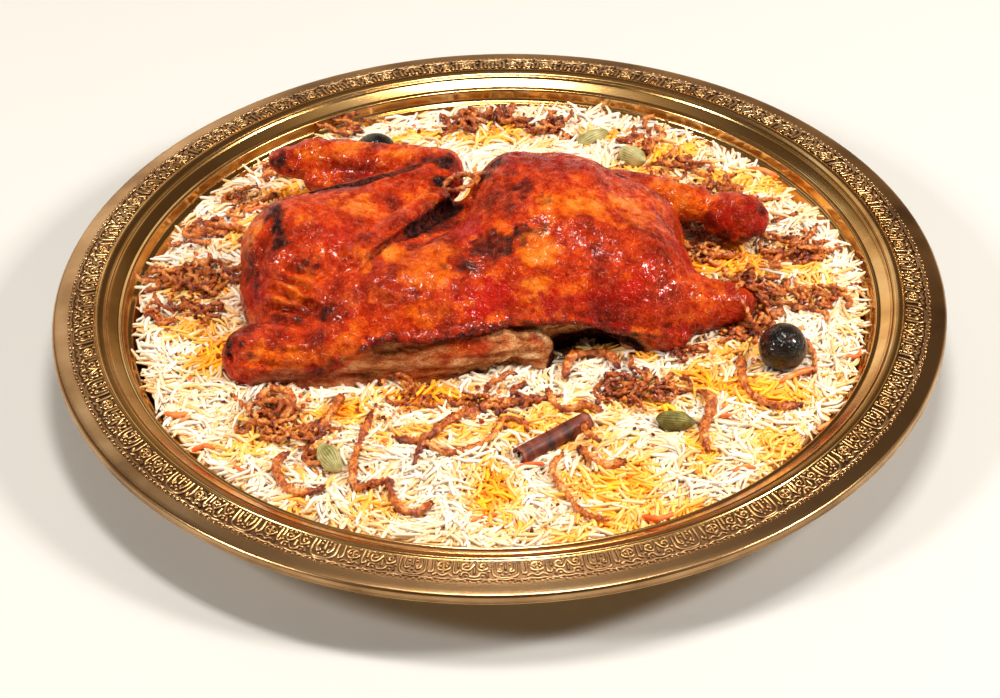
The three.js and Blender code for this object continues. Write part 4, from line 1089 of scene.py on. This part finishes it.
# ---------------------------------------------------------------------------------------------
# Fried onion: thin slices fried crisp and scattered, in loose strands and in small heaps of
# curls. Each strand has shrunk unevenly into beads, golden to dark by how crisp it is and dark at
# its ends.
STRAND_SEAT = 3.7
STRAND_THICK = 1.65
CURL_STEP = 3
STRANDS = {  # places along each strand, height over the rice, thickness against the usual, crispness
    "by_the_pod": (
        [(-92, -103), (-97, -110), (-96, -118), (-91, -127), (-85, -130), (-76, -127)], 0, 1.1, 0.45),
    "front_ring": ([(-107, -71), (-102, -64), (-94, -67), (-91, -75), (-96, -82), (-104, -79)], 2, 1.1, 0.25),
    "front_short": ([(-69, -68), (-74, -82), (-80, -90), (-87, -96)], 0.5, 0.95, 0.45),
    "front_long": (
        [(-56, -79), (-61, -97), (-64, -112), (-63, -128), (-55, -126), (-48, -125)], 0, 1.05, 0.4),
    "front_tail": ([(-49, -124), (-47, -135), (-43, -142), (-37, -144), (-30, -140)], 0, 1.1, 0.6),
    "front_thin": ([(-118, -61), (-114, -66), (-110, -73)], 0, 0.55, 0.6),
    "middle_long": (
        [(-38, -116), (-34, -104), (-24, -108), (-14, -106), (-5, -100), (1, -87), (9, -89), (11, -96)],
        0, 0.9, 0.45),
    "middle_band": (
        [(-48, -96), (-40, -100), (-31, -98), (-22, -87), (-12, -80), (-1, -76), (10, -77), (21, -74)],
        0, 0.95, 0.6),
    "middle_loop": ([(28, -61), (31, -48), (40, -44), (48, -46), (52, -55)], 1, 1.15, 0.5),
    "middle_bend": ([(20, -69), (24, -79), (30, -81), (36, -79), (44, -82)], 0, 0.85, 0.4),
    "quill_right": ([(33, -107), (37, -114), (44, -118), (53, -116)], 0, 1.25, 0.55),
    "quill_over": ([(38, -94), (35, -99), (38, -105), (42, -110)], 4, 0.75, 0.4),
    "falling": ([(26, -109), (21, -120), (25, -133), (33, -147), (44, -153)], 0, 0.8, 0.35),
    "right_long": ([(106, -44), (106, -65), (111, -75), (119, -80), (131, -78)], 0, 1.1, 0.5),
    "right_upright": ([(86, -70), (91, -76), (90, -85), (87, -96), (88, -110)], 0, 1.25, 0.4),
    "by_the_lime": ([(135, -36), (138, -46), (137, -57)], 0, 0.8, 0.35),
    "left_curl": ([(-135, 67), (-127, 60), (-118, 59), (-113, 52), (-118, 47)], 0.5, 0.9, 0.6),
    "knuckle_tail": ([(126, 54), (132, 58), (138, 62)], 0, 0.7, 0.7),
    "seed": ([(71, -77), (73, -76), (75, -75)], 1, 0.75, 1.0),
}
HEAPS = [  # middle, reach along x and y, height, number of curls, how crisp
    ((-138, 27), (16, 13), 5.0, 26, 0.5), ((-127, 19), (7, 7), 6.5, 9, 0.95),
    ((-137, 56), (10, 7), 3.5, 10, 0.55), ((-119, 82), (7, 7), 3.5, 8, 0.4),
    ((-143, -2), (15, 8), 4.0, 16, 0.6), ((-95, -83), (15, 14), 6.0, 24, 0.55),
    ((-84, -97), (8, 8), 5.0, 9, 0.8), ((-1, -75), (16, 6), 3.5, 14, 0.75),
    ((60, -69), (15, 9), 5.5, 24, 0.75), ((113, 2), (11, 12), 12.0, 26, 0.55),
    ((135, 32), (13, 10), 5.5, 20, 0.6), ((142, -2), (11, 11), 3.0, 14, 0.5),
    ((92, 32), (10, 9), 8.0, 16, 0.25), ((98, 81), (8, 6), 4.5, 10, 0.7),
    ((-64, 140), (7, 5), 3.0, 7, 0.7), ((-7, 141), (17, 7), 4.5, 20, 0.75),
    ((24, 135), (12, 6), 3.0, 10, 0.6), ((66, 124), (9, 5), 3.0, 8, 0.5),
    ((85, 100), (11, 8), 3.5, 11, 0.5), ((76, -39), (12, 5), 3.0, 9, 0.75),
    ((104, -28), (9, 6), 3.0, 8, 0.6), ((110, -13), (10, 9), 21.0, 44, 0.6),
    ((-40, -67), (12, 4), 3.0, 6, 0.6), ((118, 66), (9, 7), 2.5, 6, 0.5),
    ((-100, 107), (8, 5), 2.5, 6, 0.6), ((92, 53), (9, 6), 4.0, 11, 0.4),
]

strand_tree, given = tree_of("fried_strands", {
    "Geometry": "Geometry", "Step": "Float", "Sides": "Int", "Pinch": "Float", "Lump height": "Float",
    "Lumps per metre": "Float", "Material": "Material"})
t = strand_tree
path = add(t, "GeometryNodeMeshToCurve", {"Mesh": given["Geometry"]})
path = add(t, "GeometryNodeCurveSplineType", {"Curve": path}, spline_type="CATMULL_ROM")
path = add(t, "GeometryNodeResampleCurve", {"Curve": path, "Length": given["Step"]}, mode="LENGTH")
thick = add(t, "GeometryNodeInputNamedAttribute", {"Name": "thick"}, data_type="FLOAT")
beads = add(t, "ShaderNodeTexNoise", {"Scale": 260.0, "Detail": 1.0})
beads = add(t, "ShaderNodeMath", {0: beads, 1: 0.5}, operation="SUBTRACT")
beads = add(t, "ShaderNodeMath", {0: beads, 1: given["Pinch"], 2: 1.0}, operation="MULTIPLY_ADD")
share = add(t, "GeometryNodeSplineParameter").outputs["Factor"]
ending = add(t, "ShaderNodeMath", {0: share, 1: 0.5}, operation="SUBTRACT")
ending = add(t, "ShaderNodeMath", {0: ending}, operation="ABSOLUTE")
closing = add(t, "ShaderNodeMapRange", {0: ending, 1: 0.42, 2: 0.5, 3: 1.0, 4: 0.45})
radius = add(t, "ShaderNodeMath", {0: thick, 1: beads}, operation="MULTIPLY")
radius = add(t, "ShaderNodeMath", {0: radius, 1: closing}, operation="MULTIPLY")
noted = {"Geometry": path, "Name": "ending", "Value": ending}
noted = add(t, "GeometryNodeStoreNamedAttribute", noted, data_type="FLOAT")
ring = add(t, "GeometryNodeCurvePrimitiveCircle", {"Resolution": given["Sides"], "Radius": 1.0})
tube = add(t, "GeometryNodeCurveToMesh", {
    "Curve": noted, "Profile Curve": ring, "Scale": radius, "Fill Caps": True})
lumps = add(t, "ShaderNodeTexNoise", {"Scale": given["Lumps per metre"], "Detail": 2.0})
lumps = add(t, "ShaderNodeMath", {0: lumps, 1: 0.5}, operation="SUBTRACT")
lumps = add(t, "ShaderNodeMath", {0: lumps, 1: given["Lump height"]}, operation="MULTIPLY")
outward = {0: add(t, "GeometryNodeInputNormal"), "Scale": lumps}
outward = add(t, "ShaderNodeVectorMath", outward, operation="SCALE")
lumpy = add(t, "GeometryNodeSetPosition", {"Geometry": tube, "Offset": outward})
smooth = add(t, "GeometryNodeSetShadeSmooth", {"Geometry": lumpy})
real = add(t, "GeometryNodeRealizeInstances", {"Geometry": smooth})
dressed = add(t, "GeometryNodeSetMaterial", {"Geometry": real, "Material": given["Material"]})
add(t, "NodeGroupOutput", {"Geometry": dressed})


def paths_mesh(name, paths):
    """A wire mesh from paths of (points in mm, thickness in mm, crispness)."""
    points = [p for path, _, _ in paths for p in path]
    mesh = bpy.data.meshes.new(name)
    edges, first = [], 0
    for path, _, _ in paths:
        edges += [(first + i, first + i + 1) for i in range(len(path) - 1)]
        first += len(path)
    mesh.from_pydata((np.array(points) * MM).tolist(), edges, [])
    for label, part, unit in (("thick", 1, MM), ("crisp", 2, 1)):
        values = [path[part] * unit for path in paths for _ in path[0]]
        mesh.attributes.new(label, "FLOAT", "POINT").data.foreach_set("value", values)
    return mesh


def strand(places, over, wave):
    """A path that lies on the rice through these places, with small rises."""
    seat = STRAND_SEAT + over
    return [
        (x, y, heap_top(x, y) + seat + 0.7 * math.sin(1.9 * i + wave)) for i, (x, y) in enumerate(places)
    ]


def curled(rng, middle, reach, height):
    """One loose curl somewhere in a heap, as a path."""
    angle, far = rng.uniform(0, 2 * math.pi), math.sqrt(rng.uniform(0, 1))
    x, y = middle[0] + reach[0] * far * math.cos(angle), middle[1] + reach[1] * far * math.sin(angle)
    heading, bend = rng.uniform(0, 2 * math.pi), rng.normal(0, 0.65)
    lift, climb = height * (1.05 - far) * rng.uniform(0, 1), rng.normal(0, 0.8)
    path = []
    for _ in range(rng.integers(4, 8)):
        path.append((x, y, heap_top(x, y) + STRAND_SEAT - 0.6 + max(lift, 0)))
        heading += bend + rng.normal(0, 0.45)
        lift += climb
        climb = 0.6 * climb + rng.normal(0, 0.7) - 0.12 * lift
        x, y = x + CURL_STEP * math.cos(heading), y + CURL_STEP * math.sin(heading)
    return path


# Onion sugar browned in hot fat: amber to mahogany by how crisp it is and darker at its ends,
# with an oily shine on its blisters.
fried, tree, shader = finish_of(
    "fried_onion", Roughness=0.3, Coat_Weight=0.7, Coat_Roughness=0.1, Specular_IOR_Level=0.3,
    Subsurface_Weight=0.1, Subsurface_Radius=(1.0, 0.35, 0.1), Subsurface_Scale=0.0012)
place = add(tree, "ShaderNodeTexCoord").outputs["Object"]
crisp = add(tree, "ShaderNodeAttribute", attribute_name="crisp").outputs["Fac"]
ending = add(tree, "ShaderNodeAttribute", attribute_name="ending").outputs["Fac"]
blister = add(tree, "ShaderNodeTexNoise", {
    "Vector": place, "Scale": 620.0, "Detail": 3.0, "Roughness": 0.55})
ended = add(tree, "ShaderNodeMapRange", {0: ending, 1: 0.3, 2: 0.5, 3: -0.05, 4: 0.3})
burnt = add(tree, "ShaderNodeMath", {0: crisp, 1: 0.5, 2: ended}, operation="MULTIPLY_ADD")
cloud = add(tree, "ShaderNodeTexNoise", {"Vector": place, "Scale": 150.0, "Detail": 2.0})
for uneven in (blister, cloud):
    burnt = add(tree, "ShaderNodeMath", {0: uneven, 1: 1.6, 2: burnt}, operation="MULTIPLY_ADD")
burnt = add(tree, "ShaderNodeMapRange", {0: burnt, 1: 1.3, 2: 2.55})
colour = add(tree, "ShaderNodeValToRGB", {"Fac": burnt}, [
    (0.0, "#ECB470"), (0.28, "#D27A2C"), (0.52, "#A44A12"), (0.76, "#6E220A"), (1.0, "#300A04")])
relief = add(tree, "ShaderNodeBump", {"Height": blister, "Strength": 1.0, "Distance": 0.0012})
feed(shader, {"Base Color": colour, "Normal": relief, "Coat Normal": relief})

scattered = [
    (strand(places, over, 3.1 * i), STRAND_THICK * thick, crispness)
    for i, (places, over, thick, crispness) in enumerate(STRANDS.values())
]
# A pale ring of onion has slipped into the fold behind the wing.
scattered += [
    ([(-24, 27, 79), (-20, 33, 80), (-13, 33, 82), (-8, 27, 84), (-11, 21, 85), (-18, 20, 83),
      (-23, 24, 81)], 1.2, 0.35),
    ([(-12, 34, 80), (-6, 32, 83), (-1, 26, 86), (1, 20, 88)], 1.0, 0.4),
]
rng = np.random.default_rng(90)
heaped = []
for middle, reach, height, count, crispness in HEAPS:
    for _ in range(round(1.2 * count)):
        size = STRAND_THICK * rng.uniform(0.42, 0.78)
        heaped.append((curled(rng, middle, reach, height), size, crispness + rng.normal(0, 0.15)))
for label, paths in (("strands", scattered), ("heaps", heaped)):
    onion = grown("fried_onion_" + label, strand_tree, {
        "Step": 0.75 * MM, "Sides": 8, "Pinch": 1.5, "Lump height": 3.6 * MM, "Lumps per metre": 800.0,
        "Material": fried}, base=paths_mesh("onion_" + label, paths))
    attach(onion, "root")
    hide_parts(*[f"onion_{i}" for i in range(1, 8)])

# ---------------------------------------------------------------------------------------------
# Carrot and crumbs: matchsticks of carrot cooked soft in the rice, and crumbs of onion, spice
# paste and dyed rice dust that fall wherever the onion is scattered.
CARROT_THICK = 1.1
CARROTS = {  # places along each matchstick, height over the rice, thickness against the usual
    "left_far": ([(-147, -71), (-142, -74), (-137, -72)], -0.6, 1.1),
    "left_near": ([(-140, -78), (-135, -73)], -1.0, 0.8),
    "left_low": ([(-134, -97), (-129, -95), (-124, -97)], -0.8, 1.1),
    "left_front": ([(-116, -108), (-112, -112), (-106, -113)], -1.2, 0.8),
    "front": ([(-14, -150), (-9, -147), (-3, -147)], -1.2, 0.9),
    "front_red": ([(4, -118), (11, -115), (18, -116)], -0.6, 0.8),
    "front_right": ([(58, -150), (65, -151), (72, -147)], -0.9, 1.1),
    "right_front": ([(98, -121), (103, -118), (108, -120)], -0.8, 0.9),
    "under_lime": ([(122, -63), (130, -58), (139, -53)], -0.2, 1.2),
    "right_edge": ([(152, -44), (157, -43), (160, -38)], -0.8, 1.0),
    "right_mid": ([(146, -86), (141, -90), (136, -95)], -0.8, 1.0),
    "by_pod": ([(90, -84), (97, -87), (103, -85)], -1.0, 0.8),
    "far": ([(60, 116), (66, 119), (73, 118)], -0.8, 0.9),
    "far_right": ([(118, 100), (125, 98), (131, 92)], -0.8, 1.0),
    "far_left": ([(-116, 74), (-110, 77), (-103, 77)], -0.8, 1.0),
}
cooked, tree, shader = finish_of("cooked_carrot", Roughness=0.4, Specular_IOR_Level=0.35)
place = add(tree, "ShaderNodeTexCoord").outputs["Object"]
cloud = add(tree, "ShaderNodeTexNoise", {"Vector": place, "Scale": 160.0, "Detail": 4.0})
colour = add(tree, "ShaderNodeValToRGB", {"Fac": cloud}, [
    (0.34, "#E0581C"), (0.5, "#F4803A"), (0.66, "#FAA868")])
relief = add(tree, "ShaderNodeBump", {"Height": cloud, "Strength": 0.5, "Distance": 0.001})
feed(shader, {"Base Color": colour, "Normal": relief})
sticks = [
    (strand(places, over, 2.3 * i), CARROT_THICK * thick, 0)
    for i, (places, over, thick) in enumerate(CARROTS.values())
]
carrots = grown("carrot_matchsticks", strand_tree, {
    "Step": 1.2 * MM, "Sides": 6, "Pinch": 0.4, "Lump height": 1.0 * MM, "Lumps per metre": 300.0,
    "Material": cooked}, base=paths_mesh("carrot_paths", sticks))
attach(carrots, "root")
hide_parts("rice")

# Each crumb is a small dented lump; four shapes are enough to look all different.
crumb_kit = bpy.data.collections.new("crumb_shapes")
for order in range(4):
    lump = bmesh.new()
    bmesh.ops.create_icosphere(lump, subdivisions=1, radius=1.0 * MM)
    for corner in lump.verts:
        swell = 1 + 0.5 * float(noise(np.array(corner.co) / MM + 5.0 * order, 1.1, 71))
        corner.co = (corner.co[0] * swell * 1.25, corner.co[1] * swell, corner.co[2] * swell * 0.7)
    crumb = bpy.data.meshes.new(f"crumb_{order}")
    lump.to_mesh(crumb)
    lump.free()
    crumb_kit.objects.link(bpy.data.objects.new(f"crumb_{order}", crumb))

# They lie thick round the onion and thin elsewhere.
CRUMBS_PER_M2 = 34000.0
CRUMB_LIFT = 1.4
FALLEN_BEYOND = (14, 12)  # how far past a heap of onion they lie thick
fallen = ground.copy()
fallen.transform(Matrix.Translation((0, 0, CRUMB_LIFT * MM)))
near = np.zeros(len(flat))
for middle, reach, _, _, _ in HEAPS:
    reach = (reach[0] + FALLEN_BEYOND[0], reach[1] + FALLEN_BEYOND[1], 1)
    near = np.maximum(near, spot(flat3, (*middle, 0), reach))
bare_share = np.empty(len(flat), np.float32)
fallen.attributes["bare"].data.foreach_get("value", bare_share)
patchy = np.clip(0.5 + 1.2 * noise(flat3, 17, 58), 0.1, 1)
fallen.attributes["bare"].data.foreach_set("value", bare_share * (0.3 + 1.4 * near) * patchy)
fallen.attributes["saffron"].data.foreach_set("value", np.zeros(len(flat), np.float32))
CRUMB_KINDS = {  # tone from, tone to, colours, smallest and largest
    "paste": (-9.0, 0.25, ("#D8601C", "#E8842C", "#F4A444"), 0.55, 1.15),
    "browned": (0.25, 9.0, ("#3A0C04", "#7A2408", "#B84A10"), 0.45, 1.1),
}
for label, (from_tone, to_tone, colours, smallest, largest) in CRUMB_KINDS.items():
    crust, tree, shader = finish_of("crumb_" + label, Roughness=0.45, Specular_IOR_Level=0.4)
    tint = add(tree, "ShaderNodeAttribute", attribute_name="tint").outputs["Fac"]
    colour = add(tree, "ShaderNodeValToRGB", {"Fac": tint}, zip((0.0, 0.5, 1.0), colours))
    feed(shader, {"Base Color": colour})
    crumbs = grown("crumbs_" + label, strewn_tree, {
        "Shapes": crumb_kit, "Density": CRUMBS_PER_M2, "Seed": 21, "From tone": from_tone, "To tone": to_tone,
        "Spread": 1.0, "Layer": 3.2 * MM, "Tilt": 0.5, "Turn": 3.1, "Smallest": smallest,
        "Largest": largest, "Material": crust}, base=fallen.copy())
    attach(crumbs, "root")
    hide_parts("rice")

# ---------------------------------------------------------------------------------------------
# Studio: a pale paper floor under an overhead softbox, one more softbox on each side, a far window
# and a dim room behind them, which the brass shows as its darks.
FLOOR_HALF = 6000
LIGHTS = {  # direction it stands in, distance, width, height, power in watts
    "overhead": ((0.05, 0.06, 1.0), 2.0, 0.7, 0.3, 22.0),
    "far_window": ((-0.30, 0.79, 0.54), 2.0, 0.7, 1.3, 2.0),
    "left_box": ((-0.72, -0.30, 0.63), 2.0, 0.34, 0.44, 17.0),
    "right_box": ((0.75, -0.17, 0.64), 2.0, 0.34, 0.44, 27.0),
}
LENS_MM = 163.1
CAMERA_M = 2.03
CAMERA_PITCH, CAMERA_ROLL = math.radians(37.26), math.radians(1.48)
EDGE_Z = 34.0  # height of the tray's outer edge
AIM_MM = (0, -33, EDGE_Z)

# Matt paper off a roll, with nothing on it.
paper, tree, shader = finish_of("seamless_paper", Base_Color=linear("#C9CAC7"), Roughness=0.9)
corners = [(x * FLOOR_HALF, y * FLOOR_HALF, 0) for x, y in ((-1, -1), (1, -1), (1, 1), (-1, 1))]
floor = mesh_object("floor", corners, [(0, 1, 2, 3)], paper)

room = bpy.data.worlds.new("studio_room")
bpy.context.scene.world = room
room.use_nodes = True
t = room.node_tree
t.nodes.clear()
looking = add(t, "ShaderNodeTexCoord").outputs["Generated"]
across, away, up = add(t, "ShaderNodeSeparateXYZ", {0: looking}).outputs
glow = add(t, "ShaderNodeValToRGB", {"Fac": up}, [
    (0.0, "#F0DEC8"), (0.3, "#B8A080"), (0.6, "#5C4C3C"), (0.85, "#54463A"), (1.0, "#A89884")])
# The far side of the room is brighter on the left than on the right, and the near side low down.
sideways = add(t, "ShaderNodeMapRange", {0: across, 1: -0.25, 2: 0.3, 3: 0.9, 4: 0.6})
beyond = add(t, "ShaderNodeMapRange", {0: away, 1: -0.1, 2: 0.3})
strength = add(t, "ShaderNodeMath", {0: sideways, 1: beyond, 2: 1.0}, operation="MULTIPLY_ADD")
near_side = add(t, "ShaderNodeMapRange", {0: away, 1: -0.1, 2: -0.5, 3: 0.0, 4: 0.85})
low_down = add(t, "ShaderNodeMapRange", {0: up, 1: 0.1, 2: 0.5, 3: 1.0, 4: 0.25})
near_side = add(t, "ShaderNodeMath", {0: near_side, 1: low_down}, operation="MULTIPLY")
strength = add(t, "ShaderNodeMath", {0: strength, 1: near_side}, operation="ADD")
strength = add(t, "ShaderNodeMath", {0: strength, 1: 0.45}, operation="MULTIPLY")
sky = add(t, "ShaderNodeBackground", {"Color": glow, "Strength": strength})
add(t, "ShaderNodeOutputWorld", {"Surface": sky})

for name, (direction, distance, width, height, watts) in LIGHTS.items():
    lamp = bpy.data.lights.new(name, "AREA")
    lamp.shape = "RECTANGLE"
    lamp.size, lamp.size_y, lamp.energy = width, height, watts
    lamp.color = linear("#FFFAF4")[:3]
    box = bpy.data.objects.new(name, lamp)
    facing = Vector(direction).normalized()
    turn = facing.to_track_quat("Z", "Y").to_matrix().to_4x4()
    box.matrix_world = Matrix.Translation(facing * distance) @ turn
    bpy.context.scene.collection.objects.link(box)

rim_centre = Vector((0, 0, EDGE_Z)) * MM
eye = rim_centre + CAMERA_M * Vector((0, -math.cos(CAMERA_PITCH), math.sin(CAMERA_PITCH)))
sight = (Vector(AIM_MM) * MM - eye).normalized()
level = sight.cross(Vector((0, 0, 1))).normalized()
right = math.cos(CAMERA_ROLL) * level - math.sin(CAMERA_ROLL) * level.cross(sight)
lens = bpy.data.cameras.new("camera")
lens.lens = LENS_MM
camera = bpy.data.objects.new("camera", lens)
turn = Matrix((right, right.cross(sight), -sight)).transposed().to_4x4()
camera.matrix_world = Matrix.Translation(eye) @ turn
bpy.context.scene.collection.objects.link(camera)
bpy.context.scene.camera = camera
bpy.context.scene.view_settings.view_transform = "Standard"
bpy.context.scene.view_settings.exposure = 0.38
bpy.context.scene.view_settings.gamma = 0.95
